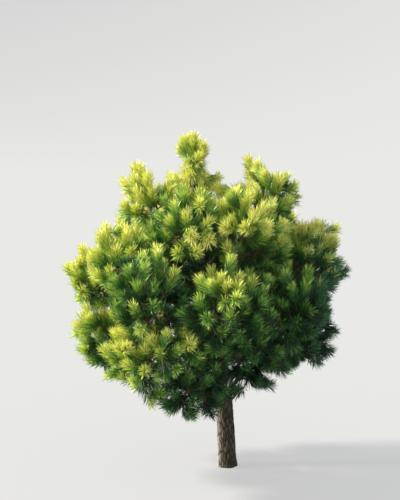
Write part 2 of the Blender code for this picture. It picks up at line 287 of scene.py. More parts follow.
def limb_lines():
    """The trunk's line, then each bough's as soon as its parent's is known."""
    lines = {"trunk": trunk_line()}
    waiting = [mass for mass in MASSES if mass.parent]
    while waiting:
        ready = [mass for mass in waiting if mass.parent in lines]
        for mass in ready:
            lines[mass.name] = bough_line(mass, lines)
            waiting.remove(mass)
    return lines


def ending_of(mass, lines):
    """Where the limb under a mass ends, and which way its flat end faces."""
    if not mass.parent:
        return lines["trunk"][-1][0], UP
    (before, _), (tip, _) = lines[mass.name][-2:]
    return tip, (tip - before).normalized()


class Space:
    """A mass's own space: a ball, cut by a plane towards each neighbour, less the limbs that cross it.

    taken lists the tips of all shoots so far, whichever mass they are in.
    """

    def __init__(self, mass, lines, taken):
        self.mass = mass
        self.taken = taken
        self.centre = centre_of(mass)
        self.radius = mass.radius * SPACE_REACH
        self.planes = [self.plane_to(other) for other in MASSES if other is not mass]
        self.limbs = [
            (a, b, max(a_radius, b_radius))
            for line in lines.values()
            for (a, a_radius), (b, b_radius) in zip(line, line[1:])
            if min((a - self.centre).length, (b - self.centre).length) < LIMBS_WITHIN * self.radius
        ]

    def plane_to(self, other):
        way = centre_of(other) - self.centre
        distance = way.length
        other_radius = other.radius * SPACE_REACH
        share = (distance**2 + self.radius**2 - other_radius**2) / (2 * distance)
        normal = way / distance
        return normal, normal.dot(self.centre) + share - SPACE_GAP / 2

    def holds(self, point, margin):
        if (point - self.centre).length > self.radius - margin:
            return False
        return self.beside(point, -margin)

    def beside(self, point, overlap):
        """Whether a point is on this mass's side of every plane, or past one by no more than the overlap."""
        return all(normal.dot(point) <= limit + overlap for normal, limit in self.planes)

    def clear_of_limbs(self, piece):
        for i in range(CLEARANCE_STEPS + 1):
            share = i / CLEARANCE_STEPS
            point = piece.start.lerp(piece.end, share)
            thick = mixed(piece.start_radius, piece.end_radius, share)
            for a, b, radius in self.limbs:
                way = b - a
                nearest = a + way * from_none_to_all((point - a).dot(way) / way.length_squared)
                if (point - nearest).length < radius + thick + LIMB_CLEARANCE:
                    return False
        return True

    def takes(self, piece):
        return (
            self.holds(piece.start, piece.start_radius)
            and self.holds(piece.end, piece.end_radius)
            and self.clear_of_limbs(piece)
        )


def spine(hub, way, length, share):
    """The point and direction at a share of the way along a spray, which bends upwards."""
    point = hub + length * (share * way + SPRAY_RISE * share**2 * UP)
    return point, (way + 2 * SPRAY_RISE * share * UP).normalized()


# The same rule, carried on to finer shoots

Spray = namedtuple("Spray", "hub way length first stretches")
Shoot = namedtuple("Shoot", "line warmth cool fullness")
Growth = namedtuple("Growth", "stem branchlets shoots")

STEM_OVERLAP = 0.002
BRANCHLET_RADII = (0.0042, 0.0024)
SHOOT_RADII = (0.0022, 0.0015)
LINE_STEPS = 6


def drawn_stretch(rng):
    return 1 + rng.uniform(-LENGTH_JITTER, LENGTH_JITTER)


def grown_spray(space, hub, way, length, rng):
    """The spray that fits here, with one stretch drawn for each needle of the solid's, or None."""
    first = rng.uniform(0, 2 * math.pi)
    for shorter in SHORTER:
        reach = length * shorter
        places = [(spine(hub, way, reach, share)[0], radius) for share, radius in SPRAY_STEPS]
        steps = [Segment(a, b, radius, radius) for (a, radius), (b, _) in zip(places, places[1:])]
        if all(space.takes(step) for step in steps):
            stretches = [drawn_stretch(rng) for _ in range(SPRAY_DRAWS)]
            return Spray(hub, way, reach, first, stretches)
    return None


def sprays_in(space, root, ending, rng):
    """The sprays of a mass's whorls and of its stem's end."""
    size = space.mass.radius
    fullness = size / FULL_MASS_RADIUS
    whorls = [(whorl, round(whorl.count * fullness)) for whorl in SIDE_WHORLS] + [(END_SPRAY, 1)]
    sprays = []
    for whorl, count in whorls:
        hub = root + ending * size * whorl.place
        first = rng.uniform(0, 2 * math.pi)
        for i in range(count):
            spread = whorl.spread + rng.uniform(-ANGLE_JITTER, ANGLE_JITTER)
            way = turned(ending, spread, first + i * 2 * math.pi / count)
            sprays.append(grown_spray(space, hub, way, size * whorl.length * drawn_stretch(rng), rng))
    return [grown for grown in sprays if grown]


def bending_line(root, leaving, arriving, length, radii):
    """A line that leaves one way and ends another."""

    def place_at(share):
        return root + length * (share * leaving + share**2 / 2 * (arriving - leaving))

    return line_through(place_at, radii, LINE_STEPS)


# The crown's skin is drawn over the masses and the hollows between them, and shoots end just under it
SKIN_BLEND = 0.035
SKIN_MARGIN = 0.033
SKIN_DEPTH = 0.150
PLANE_OVERLAP = 0.012
SHOOT_SPACING = 0.056
SPACING_RADIUS = 0.120
REACHES = (1.45, 1.25, 1.10, 0.95, 0.80, 0.65)
SPRAY_STOP = 0.014
TURN_STEP = 4
TURN_LENGTH = 0.42
END_SHOOT_START = 0.30
BRANCHLET_PLACES = (0.22, 0.36, 0.50, 0.64)
BRANCHLET_SPREAD = math.radians(62)
BRANCHLET_LENGTH = 1.25
BRANCHLET_DRESSED_FROM = 0.25
SIDE_SHOOT_PLACE = 0.35
SIDE_SHOOT_SPREAD = math.radians(55)
GOLDEN_ANGLE = math.pi * (3 - math.sqrt(5))
RISE_LOW = 0.80
RISE_HIGH = 1.50
RISE_FROM = 0.40
RISE_TO = 1.05

# Balls in the crown, in rows of x, y, z and radius in millimetres, and of thousandths of warmth for a patch
Ball = namedtuple("Ball", "place radius warmth", defaults=(0,))


def balls(*rows):
    return [Ball(Vector([n / 1000 for n in row[:3]]), *(n / 1000 for n in row[3:])) for row in rows]


# Where the skin is raised, each with a shoot of its own in the middle
BULGES = balls(
    (82, -30, 1253, 46), (88, -50, 1205, 40), (135, -50, 1180, 40), (226, -40, 1186, 42),
    (256, -40, 1152, 42), (266, -20, 1105, 44), (-150, -50, 1200, 40), (-100, -40, 1195, 40),
    (-155, -20, 1250, 30), (-50, -30, 1185, 40), (-35, -60, 1150, 40), (-200, -40, 1175, 40),
    (-364, -30, 1225, 44), (-398, -40, 1150, 40), (-312, -40, 1130, 40), (-475, -50, 945, 42),
    (-545, -30, 875, 42), (335, -50, 935, 40), (425, -30, 982, 44), (478, 80, 795, 44),
    (-640, -10, 818, 42), (-575, 0, 715, 40), (-545, 30, 680, 40), (-505, -50, 690, 42),
    (-515, -30, 625, 42), (-565, -20, 600, 40), (-580, -20, 560, 36), (-505, -30, 490, 44),
    (-470, -80, 455, 42), (-430, -280, 455, 42), (-290, -320, 420, 42), (-240, -330, 340, 44),
    (-120, -320, 385, 44), (-65, -300, 390, 42), (10, -270, 450, 46), (60, -270, 450, 42),
    (75, -250, 530, 40), (125, -240, 505, 40), (110, -260, 440, 40), (130, -240, 465, 46),
    (205, -200, 495, 42), (195, -240, 470, 36), (-277, -240, 455, 30), (-245, -220, 425, 30),
    (-195, -240, 410, 30), (-95, -250, 470, 30), (52, -220, 430, 30), (-215, -300, 650, 30),
    (-160, -320, 760, 30), (-216, -380, 675, 30), (-194, -360, 800, 30), (-515, 30, 725, 30),
    (72, -120, 475, 30), (298, -100, 485, 36), (-250, -260, 385, 30), (-275, -280, 360, 36),
    (-592, 0, 842, 40), (385, -50, 480, 42), (395, -30, 600, 42), (-112, -385, 1119, 42),
    (-16, -430, 1038, 42), (58, -435, 1039, 42), (133, -410, 1040, 42), (196, -355, 1037, 42),
    (-266, -460, 934, 40), (-193, -435, 942, 40), (-126, -435, 949, 40), (-319, -505, 893, 40),
    (2, -490, 920, 42), (25, -570, 834, 42), (-19, -580, 780, 42), (46, -580, 779, 42),
    (-285, -545, 763, 40), (-148, -545, 625, 40), (-275, 50, 1095, 36), (190, -420, 680, 36),
)

# Where no shoot ends: the notches in the outline and the dark hollows between masses
HOLLOWS = balls(
    (45, 0, 1240, 90), (35, -100, 1225, 76), (152, -40, 1245, 60), (10, -60, 1150, 34), (28, 10, 1150, 25),
    (-85, 170, 1202, 26), (285, -40, 1040, 34), (345, -50, 1020, 35), (-258, -30, 1235, 82),
    (-195, 0, 1262, 28), (-98, 0, 1266, 32), (-475, -40, 1090, 78), (-422, -20, 1130, 36),
    (-428, -90, 1122, 42), (-400, -80, 1040, 36), (-395, -80, 1206, 24), (448, 40, 872, 66),
    (415, -60, 866, 30), (418, -170, 880, 30), (453, 140, 832, 36), (455, 50, 735, 36), (-600, 0, 895, 50),
    (-609, 40, 857, 30), (-650, 0, 745, 36), (-618, 0, 655, 50), (-624, -10, 560, 34), (-600, -30, 425, 50),
    (-375, -300, 375, 45), (-345, -310, 355, 46), (-310, -360, 370, 18), (-150, -300, 292, 42),
    (95, -260, 385, 48), (310, -60, 440, 40), (-375, -428, 887, 42), (-255, -460, 880, 48),
    (-149, -400, 858, 60), (-37, -420, 900, 45), (59, -415, 945, 55), (143, -385, 945, 55),
    (196, -170, 1064, 45), (-276, -160, 1067, 50), (-182, -396, 1020, 45), (-3, -364, 1100, 45),
    (-141, -510, 784, 60), (-239, -515, 795, 50), (-294, -520, 695, 40), (-229, -520, 690, 36),
    (-93, -540, 690, 45), (-38, -480, 590, 45), (-470, -140, 590, 50), (-503, 10, 412, 34),
    (-372, -360, 392, 38), (-395, -260, 402, 22), (-138, -380, 300, 24), (-622, 0, 705, 48),
    (-558, 60, 897, 20), (172, -240, 412, 36), (113, -360, 418, 18), (55, -310, 385, 20),
    (190, -90, 1238, 22), (-16, -330, 345, 62), (-8, -240, 385, 40), (2, -420, 430, 36),
)

# Painted light and shade: where shoots are made more golden than the rest of their mass, standing for
# sunlight, and where they are made darker, standing for shade
LIGHT_AND_SHADE_PATCHES = balls(
    (-100, -70, 1210, 110, 600), (-110, -380, 1120, 80, 300), (-90, -430, 1000, 130, 700),
    (-235, -380, 1020, 110, 350), (100, -400, 1040, 160, 300), (-200, -450, 940, 130, 300),
    (20, -560, 820, 110, 200), (350, -80, 1020, 140, 600), (400, 0, 830, 100, 350),
    (-335, -450, 550, 160, 180), (-335, -550, 680, 110, 600), (-565, -80, 540, 70, 400),
    (-148, -550, 620, 70, 300), (-150, -360, 850, 120, -300), (100, -360, 920, 130, -250),
    (-150, -530, 770, 100, -450), (134, -510, 760, 100, -300), (-130, -500, 550, 90, -300),
    (-475, -130, 570, 130, -500), (5, -340, 1110, 110, -550), (-267, -300, 1080, 90, -450),
    (-345, -210, 950, 90, -400), (-400, -390, 880, 100, -550),
)

# Shoots that fill what the sprays leave bare: how deep they end, and how far from other tips
Layer = namedtuple("Layer", "depth spacing")
FILLING_LAYERS = (Layer(0.040, 0.058), Layer(0.090, 0.072), Layer(0.140, 0.084))
FILLING_SEARCH = 2
SEARCH_TOLERANCE = 0.001
CORE_DEPTH = 0.110
CORE_REACH = 0.80
CORE_SPACING = 0.076
FILLING_OVERLAP = 0.030
FILLING_WAYS = 180
FILLING_NEAREST = 0.050
FILLING_FARTHEST = 0.190
FILLING_DRESSED = 0.065
FILLING_BEND = 0.35
FILLING_RADII = (BRANCHLET_RADII[0], SHOOT_RADII[1])

# Thin shoots on the trunk and the boughs, at these shares of their length, in the heart of the crown
HEART = Ball(Vector((-0.08, 0.0, 0.78)), 0.30)
TRUNK_SHOOT_PLACES = [0.40 + 0.0075 * i for i in range(74)]
BOUGH_SHOOT_PLACES = [0.25 + 0.035 * i for i in range(21)]
LIMB_SHOOT_LENGTHS = (0.110, 0.150)
LIMB_SHOOT_SPREAD = math.radians(66)
LIMB_SHOOT_SPACING = 0.052
# Painted shade: the share of their warmth that these shoots deep in the crown keep
LIMB_SHOOT_SHADE_SHARE = 0.45

# Warmth runs from 0, the deepest shade, to 1, the brightest gold, and changes by so much a metre. It is partly
# the needles' own gold and partly painted light and shade: more golden towards the lights and on top of each
# mass, darker under each mass and deep inside the crown
WARMTH_BASE = 0.45
WARMTH_MIDDLE = Vector((CROWN_AXIS_X, 0, 0.75))
# Painted light: shoots grow more golden towards the lights on the left and upwards
WARMTH_TOWARDS_LIGHT = Vector((-0.55, 0, 0.50))
# Painted light and shade: more golden on top of each mass, darker underneath it
PAINTED_LIGHT_ON_TOP = 0.18
# Painted shade: shoots deeper inside the crown than the skin below grow darker by so much a metre
PAINTED_SHADE_FROM_DEPTH = 2.6
UNSHADED_SKIN = 0.060
WARMTH_JITTER = 0.08
LOWEST_PLACE = -0.5

# Shoots further right than this are bluish, and those deeper in the crown carry fewer needles
COOL_BEYOND = 0.30
THIN_BEYOND = 0.078
THIN_SHARE = 0.45

# How much of the leader's stem, from the trunk's end on, is dressed with needles
LEADER_DRESSED = 0.098


@functools.cache
def skin_balls():
    masses = [(centre_of(mass), mass.radius * SPACE_REACH) for mass in MASSES]
    return masses + [(bulge.place, bulge.radius) for bulge in BULGES]


def bulge_tips():
    return [bulge.place for bulge in BULGES]


def skin_depth(point):
    """How far a point lies inside the crown's skin."""
    total = 0.0
    for centre, radius in skin_balls():
        total += math.exp((radius - (point - centre).length) / SKIN_BLEND)
    return SKIN_BLEND * math.log(total)


def in_hollow(point):
    return any((point - hollow.place).length < hollow.radius for hollow in HOLLOWS)


def rise_at(point):
    """How strongly a shoot turns upwards, more so towards the crown's top."""
    return mixed(RISE_LOW, RISE_HIGH, from_none_to_all((point.z - RISE_FROM) / (RISE_TO - RISE_FROM)))


def warmth_at(tip, mass, stretch):
    """How golden a shoot is: most on top of a mass, at the crown's sunny side and near its skin. This is
    painted light and shade as well as the needles' own gold.
    """
    place = max((tip.z - centre_of(mass).z) / mass.radius, LOWEST_PLACE)
    painted_light_and_shade = sum(patch.warmth * max(1 - (tip - patch.place).length / patch.radius, 0) for patch in LIGHT_AND_SHADE_PATCHES)
    return from_none_to_all(
        WARMTH_BASE
        + mass.tone
        + WARMTH_TOWARDS_LIGHT.dot(tip - WARMTH_MIDDLE)
        + PAINTED_LIGHT_ON_TOP * place
        - PAINTED_SHADE_FROM_DEPTH * max(skin_depth(tip) - UNSHADED_SKIN, 0)
        + WARMTH_JITTER * (stretch - 1) / LENGTH_JITTER
        + painted_light_and_shade
    )


def shoot_on(line, mass, stretch):
    """A shoot along a line, with how golden and how bluish it is, and its share of a full shoot's needles."""
    tip = line[-1][0]
    fullness = THIN_SHARE if skin_depth(tip) > THIN_BEYOND and tip not in bulge_tips() else 1.0
    return Shoot(line, warmth_at(tip, mass, stretch), float(tip.x > COOL_BEYOND), fullness)


def stands_free(tip, taken, spacing):
    return not in_hollow(tip) and all((tip - other).length > spacing for other in taken)


def fitting_line(space, root, leaving, length, radii):
    """The longest line that ends under the crown's skin, in its mass's space and clear of other tips."""
    spacing = SHOOT_SPACING * min(space.mass.radius / SPACING_RADIUS, 1)
    arriving = (leaving + rise_at(root) * UP).normalized()
    for reach in REACHES:
        line = bending_line(root, leaving, arriving, length * reach, radii)
        tip = line[-1][0]
        in_skin = SKIN_MARGIN < skin_depth(tip) < SKIN_DEPTH
        if in_skin and space.beside(tip, PLANE_OVERLAP) and stands_free(tip, space.taken, spacing):
            space.taken.append(tip)
            return line
    return None


def last_part(line, start):
    """The points of a line from a share of the way along it to its tip."""
    first, girth, _ = along(line, start)
    return [(first, girth)] + line[int(start * (len(line) - 1)) + 1 :]


def turned_up(spray_line, length, space):
    """A spray's line with its last part turned upwards, or as it was where that doesn't fit."""
    kept = spray_line[: TURN_STEP + 1]
    root, _, direction = along(spray_line, TURN_STEP / LINE_STEPS)
    end = fitting_line(space, root, direction, length * TURN_LENGTH, SHOOT_RADII)
    whole = kept + end[1:] if end else spray_line
    if in_hollow(whole[-1][0]):
        whole = kept
    if not end:
        space.taken.append(whole[-1][0])
    return whole


def add_branchlet(growth, line, dressed_from, mass, stretch):
    """Adds a branchlet, and the shoot along its last part."""
    growth.branchlets.append(line)
    growth.shoots.append(shoot_on(last_part(line, dressed_from), mass, stretch))


def add_finer_growth(growth, spray, space, shoot_length):
    """Adds a spray's branchlets, and the shoots that it and they carry."""
    mass = space.mass
    stop = 1 - SPRAY_STOP / spray.length
    spray_line = []
    for i in range(LINE_STEPS + 1):
        point, _ = spine(spray.hub, spray.way, spray.length, stop * i / LINE_STEPS)
        spray_line.append((point, mixed(*BRANCHLET_RADII, i / LINE_STEPS)))
    end = turned_up(spray_line, spray.length, space)
    add_branchlet(growth, end, END_SHOOT_START, mass, spray.stretches[0])
    for i, place in enumerate(reversed(BRANCHLET_PLACES)):
        for_length, for_branchlet, for_side_shoots = spray.stretches[1 + i :: len(BRANCHLET_PLACES)][:3]
        root, _, direction = along(spray_line, place)
        leaving = turned(direction, BRANCHLET_SPREAD, spray.first + i * GOLDEN_ANGLE)
        length = BRANCHLET_LENGTH * shoot_length * for_length
        line = fitting_line(space, root, leaving, length, BRANCHLET_RADII)
        if not line:
            continue
        add_branchlet(growth, line, BRANCHLET_DRESSED_FROM, mass, for_branchlet)
        root, _, direction = along(line, SIDE_SHOOT_PLACE)
        for side in (0, 1):
            round_angle = spray.first + (2 * i + side) * GOLDEN_ANGLE * 2
            leaving = turned(direction, SIDE_SHOOT_SPREAD, round_angle)
            shoot = fitting_line(space, root, leaving, shoot_length, SHOOT_RADII)
            if shoot:
                growth.shoots.append(shoot_on(shoot, mass, for_side_shoots))


def even_ways(count):
    """Directions spread evenly all round."""
    ways = []
    for i in range(count):
        rise = 1 - (2 * i + 1) / count
        level = math.sqrt(1 - rise**2)
        ways.append(Vector((level * math.cos(i * GOLDEN_ANGLE), level * math.sin(i * GOLDEN_ANGLE), rise)))
    return ways


def under_skin(centre, way, depth, farthest):
    """The point that lies at a depth under the skin on the way out from a mass's centre, or None."""
    near, far = 0.0, farthest
    if skin_depth(centre + way * far) > depth:
        return None
    while far - near > SEARCH_TOLERANCE:
        middle = (near + far) / 2
        if skin_depth(centre + way * middle) > depth:
            near = middle
        else:
            far = middle
    return centre + way * near


def filling_line(wood, tip, outward):
    """A line from the nearest wood that lies deeper than its tip, or None where that is too far."""
    depth = skin_depth(tip)
    near = [
        ((tip - point).length, point, along_wood)
        for point, along_wood, wood_depth in wood
        if wood_depth > depth and FILLING_NEAREST < (tip - point).length < FILLING_FARTHEST
    ]
    if not near:
        return None
    length, root, grain = min(near, key=lambda found: found[0])
    leaving = ((tip - root).normalized() + FILLING_BEND * grain).normalized()
    arriving = (outward + rise_at(tip) * UP).normalized()
    points = (root, root + leaving * length * FILLING_BEND, tip - arriving * length * FILLING_BEND, tip)
    return line_through(lambda share: bezier(points, share), FILLING_RADII, LINE_STEPS)


def filling_tips(space):
    """Where further shoots end: in the bulges, wherever the skin is bare of tips, and towards the trunk."""
    centre, size, taken = space.centre, space.mass.radius, space.taken
    for tip in bulge_tips():
        if space.beside(tip, 0):
            yield tip, (tip - centre).normalized()
    for layer in FILLING_LAYERS:
        for way in even_ways(FILLING_WAYS):
            tip = under_skin(centre, way, layer.depth, FILLING_SEARCH * size)
            if tip and space.beside(tip, FILLING_OVERLAP) and stands_free(tip, taken, layer.spacing):
                yield tip, way
    for way in even_ways(FILLING_WAYS):
        tip = centre + way * size * CORE_REACH
        inside = space.beside(tip, FILLING_OVERLAP) and skin_depth(tip) > CORE_DEPTH
        if inside and stands_free(tip, taken, CORE_SPACING):
            yield tip, way


def add_filling(growth, space, rng):
    """Adds further branchlets and shoots, each from the nearest wood that lies deeper."""
    wood = [
        (point, (after - point).normalized(), skin_depth(point))
        for line in [growth.stem, *growth.branchlets]
        for (point, _), (after, _) in zip(line, line[1:])
    ]
    for tip, way in filling_tips(space):
        line = filling_line(wood, tip, way)
        if line:
            space.taken.append(tip)
            length = sum((b - a).length for (a, _), (b, _) in zip(line, line[1:]))
            dressed_from = max(0, 1 - FILLING_DRESSED / length)
            add_branchlet(growth, line, dressed_from, space.mass, drawn_stretch(rng))


def add_limb_shoots(growth, line, places, space):
    """Adds thin shoots on a limb, long and short in turn, where it runs deep inside the crown, in colours
    darkened as painted shade.
    """
    for i, place in enumerate(places):
        root, _, direction = along(line, place)
        leaving = turned(direction, LIMB_SHOOT_SPREAD, i * GOLDEN_ANGLE)
        arriving = (leaving + rise_at(root) * UP).normalized()
        shoot = bending_line(root, leaving, arriving, LIMB_SHOOT_LENGTHS[i % 2], SHOOT_RADII)
        tip = shoot[-1][0]
        inside = skin_depth(tip) > THIN_BEYOND or (tip - HEART.place).length < HEART.radius
        if inside and stands_free(tip, space.taken, LIMB_SHOOT_SPACING):
            space.taken.append(tip)
            warmth = warmth_at(tip, space.mass, 1) * LIMB_SHOOT_SHADE_SHARE
            growth.shoots.append(Shoot(shoot, warmth, 0.0, THIN_SHARE))


@functools.cache
def crown_growth(shoot_length):
    """Each mass's stem, branchlets and shoots, by name."""
    lines = limb_lines()
    taken = bulge_tips()
    spaces = [Space(mass, lines, taken) for mass in MASSES]
    crown = {}
    for index, space in enumerate(spaces):
        mass = space.mass
        tip, ending = ending_of(mass, lines)
        root = tip + ending * GAP
        stem_top = root + ending * mass.radius * END_SPRAY.place
        stem = [(tip - ending * STEM_OVERLAP, BOUGH_TIP_RADIUS), (stem_top, STEM_TIP_RADIUS)]
        growth = crown[mass.name] = Growth(stem, [], [])
        for spray in sprays_in(space, root, ending, random.Random(SEED + index)):
            add_finer_growth(growth, spray, space, shoot_length)
        if mass.parent:
            add_limb_shoots(growth, lines[mass.name], BOUGH_SHOOT_PLACES, space)
        else:
            leading = bending_line(tip, ending, ending, LEADER_DRESSED, SHOOT_RADII)
            growth.shoots.append(shoot_on(leading, mass, 1))
            add_limb_shoots(growth, lines["trunk"], TRUNK_SHOOT_PLACES, space)
    for index, space in enumerate(spaces):
        add_filling(crown[space.mass.name], space, random.Random(SEED - 1 - index))
    return crown


# Node trees written as expressions


def usable(sockets, name=None):
    """The first of a node's sockets that is in use and has the name, if one is given."""
    return next((s for s in sockets if not s.is_unavailable and name in (None, s.name)), None)


class Wire:
    """One output of a node. An expression on wires and numbers adds its Math nodes."""

    def __init__(self, tree, socket):
        self.tree = tree
        self.socket = socket

    def out(self, name):
        """The output of the same node that has the name."""
        return Wire(self.tree, usable(self.socket.node.outputs, name))

    def math(self, operation, *operands):
        return self.tree.add("ShaderNodeMath", dict(enumerate(operands)), operation=operation)

    def __add__(self, other):
        return self.math("ADD", self, other)

    def __radd__(self, other):
        return self.math("ADD", other, self)

    def __sub__(self, other):
        return self.math("SUBTRACT", self, other)

    def __rsub__(self, other):
        return self.math("SUBTRACT", other, self)

    def __mul__(self, other):
        return self.math("MULTIPLY", self, other)

    def __rmul__(self, other):
        return self.math("MULTIPLY", other, self)

    def __truediv__(self, other):
        return self.math("DIVIDE", self, other)

    def limited(self, low, high):
        return self.math("MINIMUM", self.math("MAXIMUM", self, low), high)

    def matches(self, number):
        """1 where a whole number is this one, and 0 elsewhere."""
        return self.math("COMPARE", self, number, 0.4)


class Tree:
    """A shader or geometry node tree that nodes are added to by one method."""

    def __init__(self, nodes_and_links):
        self.tree = nodes_and_links

    def add(self, kind, sockets=None, **settings):
        """Adds a node with its settings, and with values or wires by a socket's name or place.

        Gives the node's first output.
        """
        node = self.tree.nodes.new(kind)
        for name, value in settings.items():
            if name == "stops":
                self.set_stops(node.color_ramp, value)
            else:
                setattr(node, name, value)
        for key, value in (sockets or {}).items():
            socket = node.inputs[key] if isinstance(key, int) else usable(node.inputs, key)
            if isinstance(value, Wire):
                self.tree.links.new(value.socket, socket)
            else:
                socket.default_value = value
        return Wire(self, usable(node.outputs))

    @staticmethod
    def set_stops(ramp, stops):
        while len(ramp.elements) < len(stops):
            ramp.elements.new(1.0)
        for element, (place, colour) in zip(ramp.elements, stops):
            element.position = place
            element.color = colour

    def vector(self, operation, *operands):
        return self.add("ShaderNodeVectorMath", dict(enumerate(operands)), operation=operation)

    def scaled(self, vector, factor):
        return self.add("ShaderNodeVectorMath", {0: vector, "Scale": factor}, operation="SCALE")

    def combined(self, **parts):
        """A vector of its X, Y and Z."""
        return self.add("ShaderNodeCombineXYZ", parts)

    def noise(self, vector, scale, detail, roughness=0.5):
        sockets = {"Vector": vector, "Scale": scale, "Detail": detail, "Roughness": roughness}
        return self.add("ShaderNodeTexNoise", sockets)

    def blended(self, factor, a, b):
        """Two colours mixed by factor."""
        return self.add("ShaderNodeMix", {"Factor": factor, "A": a, "B": b}, data_type="RGBA")

    def random(self, low, high, seed):
        return self.add("FunctionNodeRandomValue", {"Min": low, "Max": high, "Seed": seed}, data_type="FLOAT")

    def attribute(self, name):
        return self.add("GeometryNodeInputNamedAttribute", {"Name": name}, data_type="FLOAT")

    def stored(self, geometry, **values):
        for name, value in values.items():
            sockets = {"Geometry": geometry, "Name": name, "Value": value}
            geometry = self.add("GeometryNodeStoreNamedAttribute", sockets, data_type="FLOAT", domain="POINT")
        return geometry

    def with_finishes(self, geometry, chosen):
        """Sets each finish where its selection says."""
        for finish, selection in chosen:
            sockets = {"Geometry": geometry, "Selection": selection, "Material": finish}
            geometry = self.add("GeometryNodeSetMaterial", sockets)
        return geometry


SOCKET_TYPES = {"geometry": "NodeSocketGeometry", "size": "NodeSocketFloat", "count": "NodeSocketInt"}


def geometry_tree(name, inputs):
    """A new geometry tree with a geometry input and output, and its named inputs as wires."""
    group = bpy.data.node_groups.new(name, "GeometryNodeTree")
    group.interface.new_socket("Geometry", in_out="OUTPUT", socket_type=SOCKET_TYPES["geometry"])
    for label, kind in {"Geometry": "geometry", **inputs}.items():
        group.interface.new_socket(label, in_out="INPUT", socket_type=SOCKET_TYPES[kind])
    tree = Tree(group)
    entry = tree.add("NodeGroupInput")
    wires = {label: entry.out(label) for label in ("Geometry", *inputs)}
    return tree, wires


def ends_in(tree, geometry):
    tree.add("NodeGroupOutput", {0: geometry})
    return tree.tree


# Finishes


def plain_finish(name, colour, roughness, specular=0.5):
    material = bpy.data.materials.new(name)
    material.use_nodes = True
    shader = material.node_tree.nodes["Principled BSDF"]
    shader.inputs["Base Color"].default_value = (*colour, 1)
    shader.inputs["Roughness"].default_value = roughness
    shader.inputs["Specular IOR Level"].default_value = specular
    return material


NEEDLE_STEPS = ("shade", "deep_green", "green", "lime", "gold", "pale_gold")
NEEDLE_ROUGHNESS = 0.50
NEEDLE_SHINE = 0.35


def needle_finishes(colours):
    """One plain finish for each step of warmth, then a bluish one and one for dry needles."""
    shine = (NEEDLE_ROUGHNESS, NEEDLE_SHINE)
    steps = (*NEEDLE_STEPS, "blue_green", "dry")
    return [plain_finish(f"needle_{step}", getattr(colours, step), *shine) for step in steps]


BARK_ROUGHNESS = 0.90
FISSURE_ROUGHNESS = 0.96
PLATE_SMOOTHNESS = 0.14
BARK_SHINE = 0.12
FIBRE_STRETCH = (1.0, 1.0, 0.22)
FIBRES = {"scale": 420, "detail": 4, "roughness": 0.6}
BLOTCHES = {"scale": 16, "detail": 3, "roughness": 0.6}
PLATE_MIX = (0.55, 0.50)
PLATE_STOPS = (0.34, 0.54, 0.66, 0.80)
STREAK_START = 0.34
STREAK_CONTRAST = 1.8
STREAK_DARKNESS = 0.55
BUMP_MIX = (0.6, 0.4)
BUMP = {"Strength": 0.55, "Distance": 0.0016}

# A colour painted on one side of the limbs, for light and shade as well as weathering and algae: how it sets
# in with how far the place faces the lights and with blotches, and its largest share
Side = namedtuple("Side", "slope start patchiness most")
SUNLIT_AND_WEATHERED_SIDE = Side(1.5, -0.45, 0.8, 0.85)
SHADED_AND_OLIVE_SIDE = Side(-2.5, 0.70, 1.2, 0.90)


def bark_finish(name, bark):
    """Grey-brown plates over dark fissures, some reddish, paler on the side facing the lights and dark olive
    opposite: weathering and algae, and also painted light and painted shade.
    """
    material = plain_finish(name, bark.plate_brown, BARK_ROUGHNESS, BARK_SHINE)
    shader = material.node_tree.nodes["Principled BSDF"]
    tree = Tree(material.node_tree)
    place = tree.add("ShaderNodeTexCoord").out("Object")
    plate, flake, weathered = (
        tree.add("ShaderNodeAttribute", attribute_name=name).out("Fac")
        for name in ("plate", "flake", "weathered")
    )
    fibres = tree.noise(tree.vector("MULTIPLY", place, FIBRE_STRETCH), **FIBRES)
    blotches = tree.noise(place, **BLOTCHES)
    colours = (bark.plate_brown, bark.plate_grey, bark.plate_grey, bark.plate_red)
    stops = [(stop, (*colour, 1)) for stop, colour in zip(PLATE_STOPS, colours)]
    dealt = flake * PLATE_MIX[0] + blotches * PLATE_MIX[1]
    plates = tree.add("ShaderNodeValToRGB", {"Fac": dealt}, stops=stops)
    # Painted light and shade: plates paler where the bark faces the lights and dark olive where it faces away
    for side, colour in ((SUNLIT_AND_WEATHERED_SIDE, bark.plate_sunlit_and_weathered), (SHADED_AND_OLIVE_SIDE, bark.plate_shaded_and_olive)):
        share = weathered * side.slope + side.start + (blotches - 0.5) * side.patchiness
        plates = tree.blended(share.limited(0.0, side.most), plates, (*colour, 1))
    fissure = (*bark.fissure, 1)
    streaks = tree.blended(STREAK_DARKNESS, plates, fissure)
    streaked = tree.blended((fibres - STREAK_START) * STREAK_CONTRAST, plates, streaks)
    relief = plate * BUMP_MIX[0] + fibres * BUMP_MIX[1]
    looks = {
        "Base Color": tree.blended(plate, fissure, streaked),
        "Roughness": FISSURE_ROUGHNESS - plate * PLATE_SMOOTHNESS,
        "Normal": tree.add("ShaderNodeBump", {**BUMP, "Height": relief}),
    }
    for label, wire in looks.items():
        material.node_tree.links.new(wire.socket, shader.inputs[label])
    return material


# Geometry trees

BLADE_SHOULDERS = (0.58, 0.76)
BLADE_KEEL = 0.22
BLADE_ROLL = 6.3
TURN_JITTER = 0.5
SPREAD_JITTER = 0.7
NEEDLE_STRETCHES = (0.80, 1.12)
TIP_SHORTENING = 0.16
CLIMB_MIDDLE = 0.62
LAST_STEP = len(NEEDLE_STEPS) - 1
STEP_JITTER = 0.8

# The steps of warmth between which a bluish shoot has a finish of its own
BLUISH_ABOVE = 0.5
BLUISH_BELOW = 3.5


